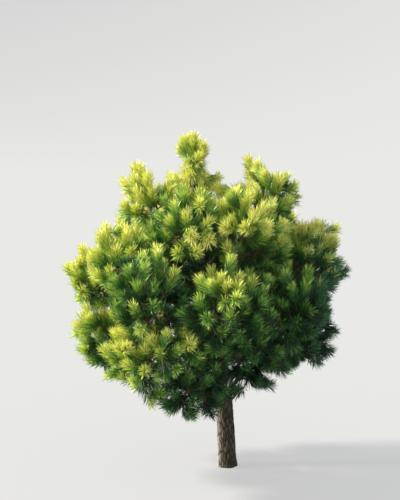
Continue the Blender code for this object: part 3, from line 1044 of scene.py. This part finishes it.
def needle_blade(tree):
    """One needle of unit size along Z: a keeled blade of four faces, widest at its two shoulders."""
    corners = {"Vertices": 3, "Side Segments": 1, "Radius Top": 0.0}
    blade = tree.add("GeometryNodeMeshCone", corners, fill_type="NGON")
    corner = tree.add("GeometryNodeInputIndex")
    left, right, tip = corner.matches(1), corner.matches(2), corner.matches(3)
    height = left * BLADE_SHOULDERS[0] + right * BLADE_SHOULDERS[1] + tip
    place = tree.combined(X=(right - left) * 0.5, Y=(right + left) * BLADE_KEEL, Z=height)
    return tree.add("GeometryNodeSetPosition", {"Geometry": blade, "Position": place})


# The needle tree's sizes, each from the setting of the same name
NEEDLE_SIZES = (
    "Needle Length", "Needle Width", "Foot Spread", "Tip Spread", "Fill", "Lift", "Unevenness", "Climb",
    "Dry Share",
)


def needle_tree(finishes):
    """Dresses each line with needles, turned round it by the golden angle and spread by foot and tip."""
    inputs = {"Needles": "count", "Seed": "count", **dict.fromkeys(NEEDLE_SIZES, "size")}
    tree, given = geometry_tree("pine needles", inputs)
    lines = tree.add("GeometryNodeMeshToCurve", {"Mesh": given["Geometry"]})
    count = given["Needles"] * tree.attribute("fullness")
    feet = tree.add("GeometryNodeResampleCurve", {"Curve": lines, "Count": count}, mode="COUNT")

    place = tree.add("GeometryNodeSplineParameter")
    share, number = place.out("Factor"), place.out("Index")
    seed = given["Seed"]
    tangent = tree.add("GeometryNodeInputTangent")
    normal = tree.add("GeometryNodeInputNormal")
    angle = number * GOLDEN_ANGLE + tree.random(-TURN_JITTER, TURN_JITTER, seed)
    turn = {"Vector": normal, "Axis": tangent, "Angle": angle}
    side = tree.add("ShaderNodeVectorRotate", turn, rotation_type="AXIS_ANGLE")
    foot, tip = given["Foot Spread"], given["Tip Spread"]
    closing = 1.0 - share * tree.random(0.0, 1.0, seed + 6) * given["Fill"]
    spread = (foot + (tip - foot) * share) * closing
    spread = spread + given["Unevenness"] * tree.random(-SPREAD_JITTER, SPREAD_JITTER, seed + 1)
    forward = tree.scaled(tangent, spread.math("COSINE", spread))
    outward = tree.scaled(side, spread.math("SINE", spread))
    way = tree.vector("ADD", tree.vector("ADD", forward, outward), tree.combined(Z=given["Lift"]))
    aim = tree.add("FunctionNodeAlignRotationToVector", {"Vector": way}, axis="Z")
    about_itself = {"Axis": UP, "Angle": tree.random(0, BLADE_ROLL, seed + 5)}
    roll = tree.add("FunctionNodeAxisAngleToRotation", about_itself)
    rolled = {"Rotation": aim, "Rotate By": roll}
    aim = tree.add("FunctionNodeRotateRotation", rolled, rotation_space="LOCAL")
    stretch = given["Needle Length"] * (1.0 - TIP_SHORTENING * share)
    stretch = stretch * tree.random(*NEEDLE_STRETCHES, seed + 2)
    size = tree.combined(X=given["Needle Width"], Y=given["Needle Width"], Z=stretch)

    tint = tree.attribute("warmth") * LAST_STEP + given["Climb"] * (share - CLIMB_MIDDLE)
    tint = (tint + tree.random(-STEP_JITTER, STEP_JITTER, seed + 3)).limited(0.0, LAST_STEP)
    dry = tree.random(0.0, 1.0, seed + 4) - (1.0 - share) * given["Dry Share"]
    feet = tree.stored(feet, tint=tint.math("ROUND", tint), dry=dry.math("LESS_THAN", dry, 0.0))
    set_out = {"Points": feet, "Instance": needle_blade(tree), "Rotation": aim, "Scale": size}
    needles = tree.add("GeometryNodeInstanceOnPoints", set_out)
    needles = tree.add("GeometryNodeRealizeInstances", {"Geometry": needles})
    dealt = tree.attribute("tint")
    bluish = dealt.math("LESS_THAN", dealt, BLUISH_BELOW) * dealt.math("GREATER_THAN", dealt, BLUISH_ABOVE)
    selections = [True, *(dealt.matches(step) for step in range(1, len(NEEDLE_STEPS)))]
    selections += [tree.attribute("cool") * bluish, tree.attribute("dry")]
    needles = tree.with_finishes(needles, zip(finishes, selections))
    for name in ("tint", "dry", "warmth", "cool", "fullness", "girth"):
        needles = tree.add("GeometryNodeRemoveAttribute", {"Geometry": needles, "Name": name})
    return ends_in(tree, needles)


BARK_INPUTS = {"Relief": "size", "Plate Width": "size", "Plate Length": "size"}


def swept(tree, lines, sides):
    """Sweeps a round section along each line, as thick as its girth says."""
    ring = tree.add("GeometryNodeCurvePrimitiveCircle", {"Resolution": sides, "Radius": 1.0})
    sockets = {"Curve": lines, "Profile Curve": ring, "Scale": tree.attribute("girth"), "Fill Caps": True}
    return tree.add("GeometryNodeCurveToMesh", sockets)


def finished(tree, surface, chosen):
    """Smooths a surface and sets each finish where its selection says."""
    surface = tree.add("GeometryNodeSetShadeSmooth", {"Geometry": surface, "Shade Smooth": True})
    surface = tree.add("GeometryNodeRealizeInstances", {"Geometry": surface})
    return ends_in(tree, tree.with_finishes(surface, chosen))


def limb_tree(name, finish):
    """Sweeps lines that have a point every so often, and gives them bark."""
    tree, given = geometry_tree(name, {"Sides": "count", "Spacing": "size", **BARK_INPUTS})
    lines = tree.add("GeometryNodeMeshToCurve", {"Mesh": given["Geometry"]})
    spaced = {"Curve": lines, "Length": given["Spacing"]}
    lines = tree.add("GeometryNodeResampleCurve", spaced, mode="LENGTH")
    limbs = with_relief(tree, given, swept(tree, lines, given["Sides"]))
    return finished(tree, limbs, [(finish, True)])


# The way towards the lights, from which the bark's painted light and shade are reckoned
PAINTED_LIGHT_WAY = (-0.94, 0.20, 0.28)
SWAY = 0.9
SWAY_SCALE = 0.9
PLATE_EDGE = {"From Min": 0.015, "From Max": 0.20}
PLATE_HEIGHTS = (0.7, 0.5)
FISSURE_DEPTH = 0.6
GRAIN = 0.7
GRAIN_SCALE = 5.0

# The relief rises from none at the flat cut, and is full at the flare's height divided by this
RELIEF_RISE = 4.0


def with_relief(tree, given, surface):
    """Sinks fissures round long plates into a surface.

    It keeps how high a place is on its plate, the plate's own number and how far the place faces the lights,
    for the bark's painted light and shade and its weathering.
    """
    place = tree.add("GeometryNodeInputPosition")
    width = given["Plate Width"]
    scaled = tree.vector("DIVIDE", place, tree.combined(X=width, Y=width, Z=given["Plate Length"]))
    sway = tree.noise(scaled, SWAY_SCALE, 2).out("Color")
    swayed = {"Vector": tree.vector("ADD", scaled, tree.scaled(sway, SWAY)), "Scale": 1.0}
    edge = tree.add("ShaderNodeTexVoronoi", swayed, feature="DISTANCE_TO_EDGE")
    cell = tree.add("ShaderNodeTexVoronoi", swayed, feature="F1").out("Color")
    number = tree.add("ShaderNodeSeparateXYZ", {"Vector": cell}).out("X")
    plate = tree.add("ShaderNodeMapRange", {"Value": edge, **PLATE_EDGE}, interpolation_type="SMOOTHSTEP")
    lowest, more = PLATE_HEIGHTS
    grain = (tree.noise(scaled, GRAIN_SCALE, 3) - 0.5) * GRAIN
    depth = given["Relief"] * (plate * (lowest + more * number) - FISSURE_DEPTH + grain)
    normal = tree.add("GeometryNodeInputNormal")
    height = tree.add("ShaderNodeSeparateXYZ", {"Vector": place}).out("Z")
    level = tree.combined(X=1.0, Y=1.0, Z=(height / FLARE_HEIGHT * RELIEF_RISE).limited(0.0, 1.0))
    sunny = tree.vector("DOT_PRODUCT", normal, PAINTED_LIGHT_WAY)
    surface = tree.stored(surface, weathered=sunny.limited(0.0, 1.0), plate=plate, flake=number)
    offset = tree.vector("MULTIPLY", tree.scaled(normal, depth), level)
    return tree.add("GeometryNodeSetPosition", {"Geometry": surface, "Offset": offset})


def trunk_tree(finish):
    """Gives the smooth trunk its bark."""
    tree, given = geometry_tree("pine trunk", BARK_INPUTS)
    return finished(tree, with_relief(tree, given, given["Geometry"]), [(finish, True)])


def twig_tree(name, finishes):
    """Sweeps lines into twigs, each in the finish of its age."""
    tree, given = geometry_tree(name, {"Sides": "count"})
    lines = tree.add("GeometryNodeMeshToCurve", {"Mesh": given["Geometry"]})
    chosen = [(finish, tree.attribute("age").matches(age)) for age, finish in enumerate(finishes)]
    return finished(tree, swept(tree, lines, given["Sides"]), chosen)


BUD_SHAPE = ((-0.002, 0.0014), (0.002, 0.0028), (0.006, 0.0030), (0.010, 0.0018), (0.013, 0.0004))


def bud_line(shoot_line):
    """A spindle of a bud at the tip of a shoot."""
    (before, _), (tip, _) = shoot_line[-2:]
    way = (tip - before).normalized()
    return [(tip + way * distance, girth) for distance, girth in BUD_SHAPE]


# Meshes and pieces


def mesh_from(bm, name):
    mesh = bpy.data.meshes.new(name)
    bm.to_mesh(mesh)
    bm.free()
    return mesh


def line_mesh(name, lines, **numbers):
    """A mesh of open lines with their girth, and a number for each line under every other name."""
    points, edges, girths = [], [], []
    for line in lines:
        edges += [(len(points) + i, len(points) + i + 1) for i in range(len(line) - 1)]
        points += [point for point, _ in line]
        girths += [radius for _, radius in line]
    mesh = bpy.data.meshes.new(name)
    mesh.from_pydata(points, edges, [])
    mesh.attributes.new("girth", "FLOAT", "POINT").data.foreach_set("value", girths)
    for label, values in numbers.items():
        spread = [value for value, line in zip(values, lines) for _ in line]
        mesh.attributes.new(label, "FLOAT", "POINT").data.foreach_set("value", spread)
    return mesh


def piece_of(name, mesh, tree, sizes):
    """A plain mesh piece: the tree's result on the mesh, with its named inputs set to sizes."""
    piece = bpy.data.objects.new(name, mesh)
    bpy.context.scene.collection.objects.link(piece)
    growing = piece.modifiers.new(tree.name, "NODES")
    growing.node_group = tree
    for item in tree.interface.items_tree:
        if item.in_out == "INPUT" and item.name in sizes:
            growing[item.identifier] = sizes[item.name]
    graph = bpy.context.evaluated_depsgraph_get()
    grown = bpy.data.meshes.new_from_object(piece.evaluated_get(graph))
    piece.modifiers.remove(growing)
    piece.data = grown
    bpy.data.meshes.remove(mesh)
    if not grown.polygons:
        raise RuntimeError(f"{name} came out with no faces")
    return piece


def joins_frame(piece, slot, *nodes):
    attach(piece, "root")
    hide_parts(*nodes)


FINE_SPACING = 0.0032
COARSE_SPACING = 0.0100
BARE_HEIGHT = 0.44
BARK_SIDES = 96
BOUGH_SIDES = 14
BOUGH_SPACING = 0.006


def trunk_surface():
    """The smooth trunk as an open tube, with root lobes round its foot and closer rings where it shows."""
    heights = [0.0]
    while heights[-1] < TRUNK_TOP - COARSE_SPACING:
        heights.append(heights[-1] + (FINE_SPACING if heights[-1] < BARE_HEIGHT else COARSE_SPACING))
    heights.append(TRUNK_TOP)
    bm = bmesh.new()
    rings = []
    for height in heights:
        ring = []
        for side in range(BARK_SIDES):
            round_angle = 2 * math.pi * side / BARK_SIDES
            foot = max(0, 1 - height / FLARE_HEIGHT) ** 2
            lobes = 1 + FLARE_LOBE_SHARE * math.cos(FLARE_LOBES * round_angle)
            radius = trunk_radius(height) * (1 + FLARE * foot * lobes)
            outward = Vector((math.cos(round_angle), math.sin(round_angle), 0))
            ring.append(bm.verts.new(trunk_point(height) + radius * outward))
        rings.append(ring)
    for lower, upper in zip(rings, rings[1:]):
        for side in range(BARK_SIDES):
            after = (side + 1) % BARK_SIDES
            bm.faces.new((lower[side], lower[after], upper[after], upper[side]))
    return mesh_from(bm, "trunk_surface")


def close_ends(mesh):
    """Fills a tube's two open ends."""
    bm = bmesh.new()
    bm.from_mesh(mesh)
    bmesh.ops.holes_fill(bm, edges=[edge for edge in bm.edges if edge.is_boundary], sides=0)
    bmesh.ops.recalc_face_normals(bm, faces=bm.faces)
    bm.to_mesh(mesh)
    bm.free()


BOUGH_STEPS = 25
COLLAR = 0.45
COLLAR_LENGTH = 0.10


def smooth_bough(mass, lines):
    """A bough's line through more points, with a swollen collar where it leaves its parent."""
    line = bough_line(mass, lines, BOUGH_STEPS)
    swollen = []
    for i, (point, radius) in enumerate(line):
        collar = COLLAR * math.exp(-i / (BOUGH_STEPS - 1) / COLLAR_LENGTH)
        swollen.append((point, radius * (1 + collar)))
    return swollen


# Settings a user would change


def length(name, description, default, low=0.0):
    return FloatProperty(name=name, description=description, default=default, unit="LENGTH", min=low)


def angle(name, description, degrees):
    return FloatProperty(name=name, description=description, default=math.radians(degrees), subtype="ANGLE")


def amount(name, description, default, high=100.0):
    return FloatProperty(name=name, description=description, default=default, min=0, max=high)


def colour(name, description, *default):
    return FloatVectorProperty(name=name, description=description, default=default, subtype="COLOR")


class PineBarkSettings(bpy.types.PropertyGroup):
    """Sizes and colours of the bark."""

    plate_width: length("Plate width", "Width of the bark's plates", 0.0085, 0.002)
    plate_length: length("Plate length", "Length of the bark's plates", 0.040, 0.002)
    relief: length("Relief", "Height of the plates over the fissures", 0.0026)
    plate_grey: colour("Grey plates", "Colour of weathered plates", 0.24, 0.205, 0.155)
    plate_brown: colour("Brown plates", "Colour of most plates", 0.105, 0.080, 0.048)
    # Painted light on the side facing the lights and painted shade opposite, as well as weathering and algae
    plate_sunlit_and_weathered: colour("Pale plates", "Colour on the weathered side", 0.50, 0.43, 0.365)
    plate_shaded_and_olive: colour("Olive plates", "Colour on the shaded side", 0.032, 0.032, 0.012)
    plate_red: colour("Red scales", "Colour of freshly shed scales", 0.26, 0.10, 0.05)
    fissure: colour("Fissures", "Colour between the plates", 0.026, 0.019, 0.012)


class PineTwigSettings(bpy.types.PropertyGroup):
    """Sizes and colours of shoots and twigs."""

    shoot_length: length("Shoot length", "Length of a full shoot", 0.070, 0.02)
    sides: IntProperty(name="Sides", description="Sides of a twig's section", default=5, min=3, max=12)
    stem: colour("Stems", "Colour of the oldest twigs", 0.19, 0.15, 0.12)
    branchlet: colour("Branchlets", "Colour of older twigs", 0.15, 0.095, 0.055)
    shoot: colour("Shoots", "Colour of this year's twigs", 0.27, 0.17, 0.065)
    bud: colour("Buds", "Colour of the buds' scales", 0.34, 0.17, 0.09)


class PineNeedleSettings(bpy.types.PropertyGroup):
    """Sizes and colours of the needles."""

    count: IntProperty(name="Needles", description="Needles on a full shoot", default=225, min=10)
    needle_length: length("Needle length", "Length of a full needle", 0.053, 0.005)
    needle_width: length("Needle width", "Width of a needle at its widest", 0.0025, 0.0005)
    foot_spread: angle("Foot spread", "Angle between needles and shoot at its foot", 32)
    tip_spread: angle("Tip spread", "Angle between needles and shoot at its tip", 50)
    fill: amount("Fill", "How far some needles at a shoot's tip close over it", 0.75, 1)
    lift: amount("Lift", "How far needles turn upwards", 0.22)
    unevenness: angle("Unevenness", "Random angle added to needles", 13)
    climb: amount("Climb", "Colour steps from a shoot's foot to its tip", 3.4)
    dry_share: amount("Dry share", "Share of dry needles at a shoot's foot", 0.05, 1)
    shade: colour("Shade", "Colour in deep shade", 0.012, 0.050, 0.017)
    deep_green: colour("Deep green", "Colour of shaded shoots", 0.028, 0.105, 0.022)
    green: colour("Green", "Colour of middle shoots", 0.070, 0.205, 0.034)
    lime: colour("Lime", "Colour below golden tips", 0.245, 0.42, 0.060)
    gold: colour("Gold", "Colour of sunlit tips", 0.55, 0.62, 0.100)
    pale_gold: colour("Pale gold", "Colour of the brightest tips", 0.74, 0.73, 0.175)
    blue_green: colour("Blue green", "Colour of the bluish shoots", 0.065, 0.18, 0.070)
    dry: colour("Dry", "Colour of dry needles", 0.20, 0.11, 0.045)


class PineStageSettings(bpy.types.PropertyGroup):
    """Where the viewer and the lights stand."""

    viewing_distance: length("Viewing distance", "From the trunk to the viewer", 5.2, 1)
    eye_height: length("Eye height", "Height of the viewer's eye", 1.6)
    sideways: length("Sideways", "How far right of the trunk the viewer stands", -0.1115, -10)
    downward: angle("Downward", "How far the view dips", 7.7)
    lens: amount("Lens", "Focal length in millimetres", 93.6, 300)
    key_strength: amount("Key light", "Strength of the main light", 9.2)
    key_bearing: angle("Key bearing", "Where the main light stands", 198)
    key_height: angle("Key height", "Angle of the main light above level", 40)
    softness: angle("Softness", "Apparent size of both lights", 10)
    side_strength: amount("Side light", "Strength of the low light", 4.0)
    side_bearing: angle("Side bearing", "Where the low light stands", 176)
    side_height: angle("Side height", "Angle of the low light above level", 12)
    fill_strength: amount("Fill light", "Strength of light all round", 0.90)
    floor_colour: colour("Floor", "Colour of the floor", 0.11, 0.11, 0.109)
    floor_glow: amount("Floor glow", "How evenly the floor shines", 0.50)


# Operators


def bark_sizes(bark, relief=1.0, width=1.0, length=1.0):
    """The bark's sizes, each times its share."""
    return {
        "Relief": bark.relief * relief,
        "Plate Width": bark.plate_width * width,
        "Plate Length": bark.plate_length * length,
    }


class PINE_OT_trunk(bpy.types.Operator):
    """Grow the trunk's bark, from the flat cut at the ground to the leader"""

    bl_idname = "pine.trunk"
    bl_label = "Trunk bark"

    def execute(self, context):
        bark = context.scene.pine_bark
        tree = trunk_tree(bark_finish("trunk_bark", bark))
        trunk = piece_of("trunk_bark", trunk_surface(), tree, bark_sizes(bark))
        close_ends(trunk.data)
        joins_frame(trunk, "bark_brown", "trunk")
        return {"FINISHED"}


BOUGH_BARK = {"relief": 0.45, "width": 0.6, "length": 0.4}


class PINE_OT_boughs(bpy.types.Operator):
    """Grow the boughs from the trunk to the masses of foliage"""

    bl_idname = "pine.boughs"
    bl_label = "Boughs"

    def execute(self, context):
        bark = context.scene.pine_bark
        lines = limb_lines()
        carried = [mass for mass in MASSES if mass.parent]
        guide = line_mesh("bough_lines", [smooth_bough(mass, lines) for mass in carried])
        sizes = {"Sides": BOUGH_SIDES, "Spacing": BOUGH_SPACING, **bark_sizes(bark, **BOUGH_BARK)}
        tree = limb_tree("pine boughs", bark_finish("bough_bark", bark))
        boughs = piece_of("boughs", guide, tree, sizes)
        joins_frame(boughs, "bough_brown", *(f"bough_{mass.name}" for mass in carried))
        return {"FINISHED"}


# The roughness and shine of twigs by age, oldest first, and of buds
TWIG_SHINES = (("stem", (0.90, 0.20)), ("branchlet", (0.85, 0.25)), ("shoot", (0.75, 0.30)))
BUD_ROUGHNESS = 0.45


def add_fine_wood(name, guide, finishes, twigs, crown):
    """Adds a piece of fine wood, which stands for its share of every mass of foliage."""
    piece = piece_of(name, guide, twig_tree(f"pine {name}", finishes), {"Sides": twigs.sides})
    joins_frame(piece, "bough_brown", *(f"foliage_{mass}" for mass in crown))


class PINE_OT_twigs(bpy.types.Operator):
    """Grow the stems, branchlets and shoots that carry the needles"""

    bl_idname = "pine.twigs"
    bl_label = "Twigs"

    def execute(self, context):
        twigs = context.scene.pine_twigs
        crown = crown_growth(twigs.shoot_length)
        by_age = ([], [], [])
        for growth in crown.values():
            by_age[0].append(growth.stem)
            by_age[1].extend(growth.branchlets)
            by_age[2].extend(shoot.line for shoot in growth.shoots)
        lines = [line for lines in by_age for line in lines]
        ages = [float(age) for age, lines in enumerate(by_age) for _ in lines]
        finishes = [plain_finish(f"{age}_bark", getattr(twigs, age), *shine) for age, shine in TWIG_SHINES]
        add_fine_wood("twigs", line_mesh("twig_lines", lines, age=ages), finishes, twigs, crown)
        return {"FINISHED"}


class PINE_OT_buds(bpy.types.Operator):
    """Set a bud at the tip of every full shoot"""

    bl_idname = "pine.buds"
    bl_label = "Buds"

    def execute(self, context):
        twigs = context.scene.pine_twigs
        crown = crown_growth(twigs.shoot_length)
        shoots = [shoot for growth in crown.values() for shoot in growth.shoots]
        buds = [bud_line(shoot.line) for shoot in shoots if shoot.fullness == 1]
        finish = plain_finish("bud_scales", twigs.bud, BUD_ROUGHNESS)
        guide = line_mesh("bud_lines", buds, age=[0.0] * len(buds))
        add_fine_wood("buds", guide, [finish], twigs, crown)
        return {"FINISHED"}


GOLD_ABOVE = 0.70
SEED_STEP = 10


class PINE_OT_needles(bpy.types.Operator):
    """Dress the shoots of every mass of foliage with needles"""

    bl_idname = "pine.needles"
    bl_label = "Needles"

    def execute(self, context):
        needles = context.scene.pine_needles
        crown = crown_growth(context.scene.pine_twigs.shoot_length)
        tree = needle_tree(needle_finishes(needles))
        for index, mass in enumerate(MASSES):
            shoots = crown[mass.name].shoots
            lines, *numbers = zip(*shoots)
            guide = line_mesh("shoot_lines", lines, **dict(zip(Shoot._fields[1:], numbers)))
            sizes = {label: getattr(needles, label.lower().replace(" ", "_")) for label in NEEDLE_SIZES}
            sizes.update({"Needles": needles.count, "Seed": SEED + SEED_STEP * index})
            piece = piece_of(f"needles_{mass.name}", guide, tree, sizes)
            slot = "needle_gold" if mass.height > GOLD_ABOVE else "needle_green"
            joins_frame(piece, slot, f"foliage_{mass.name}")
        return {"FINISHED"}


class PINE_OT_stage(bpy.types.Operator):
    """Lay the floor that turns up into a wall, and set the viewer and the lights"""

    bl_idname = "pine.stage"
    bl_label = "Stage"

    def execute(self, context):
        stage = context.scene.pine_stage
        lay_sweep(stage)
        set_lights(context.scene, stage)
        set_viewer(context.scene, stage)
        context.scene.view_settings.view_transform = "Standard"
        return {"FINISHED"}


SWEEP_FLAT = 18.0
SWEEP_CURVE = 14.0
SWEEP_TOP = 24.0
SWEEP_SIDES = 96
SWEEP_STEPS = 24
SWEEP_RINGS = 6
GLOW_COLOUR = (1.0, 1.0, 0.99, 1)
LAMP_COLOUR = (1.0, 0.95, 0.86)
FILL_COLOUR = (0.80, 0.90, 1.0, 1)
FILM_WIDTH = 36


def lay_sweep(stage):
    """A round pale floor that turns up far off into a wall, shines a little, and lights nothing else."""
    profile = [(SWEEP_FLAT * (i + 1) / SWEEP_RINGS, 0.0) for i in range(SWEEP_RINGS)]
    for i in range(1, SWEEP_STEPS + 1):
        turn = math.pi / 2 * i / SWEEP_STEPS
        profile.append((SWEEP_FLAT + SWEEP_CURVE * math.sin(turn), SWEEP_CURVE * (1 - math.cos(turn))))
    profile.append((SWEEP_FLAT + SWEEP_CURVE, SWEEP_TOP))
    bm = bmesh.new()
    middle = bm.verts.new((0, 0, 0))
    turns = [2 * math.pi * side / SWEEP_SIDES for side in range(SWEEP_SIDES)]
    ways = [(math.cos(turn), math.sin(turn)) for turn in turns]
    rings = [[bm.verts.new((reach * x, reach * y, height)) for x, y in ways] for reach, height in profile]
    for side in range(SWEEP_SIDES):
        after = (side + 1) % SWEEP_SIDES
        bm.faces.new((middle, rings[0][side], rings[0][after]))
        for inner, outer in zip(rings, rings[1:]):
            bm.faces.new((inner[side], outer[side], outer[after], inner[after]))
    for face in bm.faces:
        face.smooth = True
    mesh = mesh_from(bm, "sweep")
    sweep = bpy.data.objects.new("sweep", mesh)
    bpy.context.scene.collection.objects.link(sweep)
    paper = plain_finish("sweep", stage.floor_colour, 1.0, 0.0)
    shader = paper.node_tree.nodes["Principled BSDF"]
    shader.inputs["Emission Color"].default_value = GLOW_COLOUR
    shader.inputs["Emission Strength"].default_value = stage.floor_glow
    mesh.materials.append(paper)
    sweep.visible_shadow = False
    sweep.visible_diffuse = False
    sweep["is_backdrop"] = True


def hang_lamp(scene, name, strength, bearing, height, stage):
    """A far warm lamp."""
    lamp = bpy.data.lights.new(name, "SUN")
    lamp.energy = strength
    lamp.angle = stage.softness
    lamp.color = LAMP_COLOUR
    hung = bpy.data.objects.new(name, lamp)
    level = math.cos(height)
    towards = Vector((level * math.cos(bearing), -level * math.sin(bearing), math.sin(height)))
    hung.rotation_mode = "QUATERNION"
    hung.rotation_quaternion = towards.to_track_quat("Z", "Y")
    scene.collection.objects.link(hung)


def set_lights(scene, stage):
    hang_lamp(scene, "key_light", stage.key_strength, stage.key_bearing, stage.key_height, stage)
    hang_lamp(scene, "side_light", stage.side_strength, stage.side_bearing, stage.side_height, stage)
    world = bpy.data.worlds.new("fill_light")
    world.use_nodes = True
    light = world.node_tree.nodes["Background"]
    light.inputs["Color"].default_value = FILL_COLOUR
    light.inputs["Strength"].default_value = stage.fill_strength
    scene.world = world


def set_viewer(scene, stage):
    lens = bpy.data.cameras.new("viewer")
    lens.sensor_width = FILM_WIDTH
    lens.lens = stage.lens
    lens.clip_end = 4 * SWEEP_FLAT
    viewer = bpy.data.objects.new("viewer", lens)
    viewer.location = (stage.sideways, -stage.viewing_distance, stage.eye_height)
    viewer.rotation_euler = (math.pi / 2 - stage.downward, 0, 0)
    scene.collection.objects.link(viewer)
    scene.camera = viewer


class PINE_PT_panel(bpy.types.Panel):
    """Lists the steps of growing the pine"""

    bl_label = "Mountain Pine Standard"
    bl_space_type = "VIEW_3D"
    bl_region_type = "UI"
    bl_category = "Pine"

    def draw(self, context):
        for step in STEPS:
            self.layout.operator(step.bl_idname)


STEPS = (PINE_OT_trunk, PINE_OT_boughs, PINE_OT_twigs, PINE_OT_buds, PINE_OT_needles, PINE_OT_stage)
SETTINGS = {
    "pine_bark": PineBarkSettings,
    "pine_twigs": PineTwigSettings,
    "pine_needles": PineNeedleSettings,
    "pine_stage": PineStageSettings,
}


def register():
    for kind in (*SETTINGS.values(), *STEPS, PINE_PT_panel):
        bpy.utils.register_class(kind)
    for name, kind in SETTINGS.items():
        setattr(bpy.types.Scene, name, PointerProperty(type=kind))


def unregister():
    for name in SETTINGS:
        delattr(bpy.types.Scene, name)
    for kind in reversed((*SETTINGS.values(), *STEPS, PINE_PT_panel)):
        bpy.utils.unregister_class(kind)


def main():
    register()
    for step in STEPS:
        group, name = step.bl_idname.split(".")
        getattr(getattr(bpy.ops, group), name)()
    boxes = {"cad": SOLIDS_BOX, "visual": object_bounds()}
    {name: [list(low), list(high)] for name, (low, high) in boxes.items()}


if __name__ == "__main__":
    main()
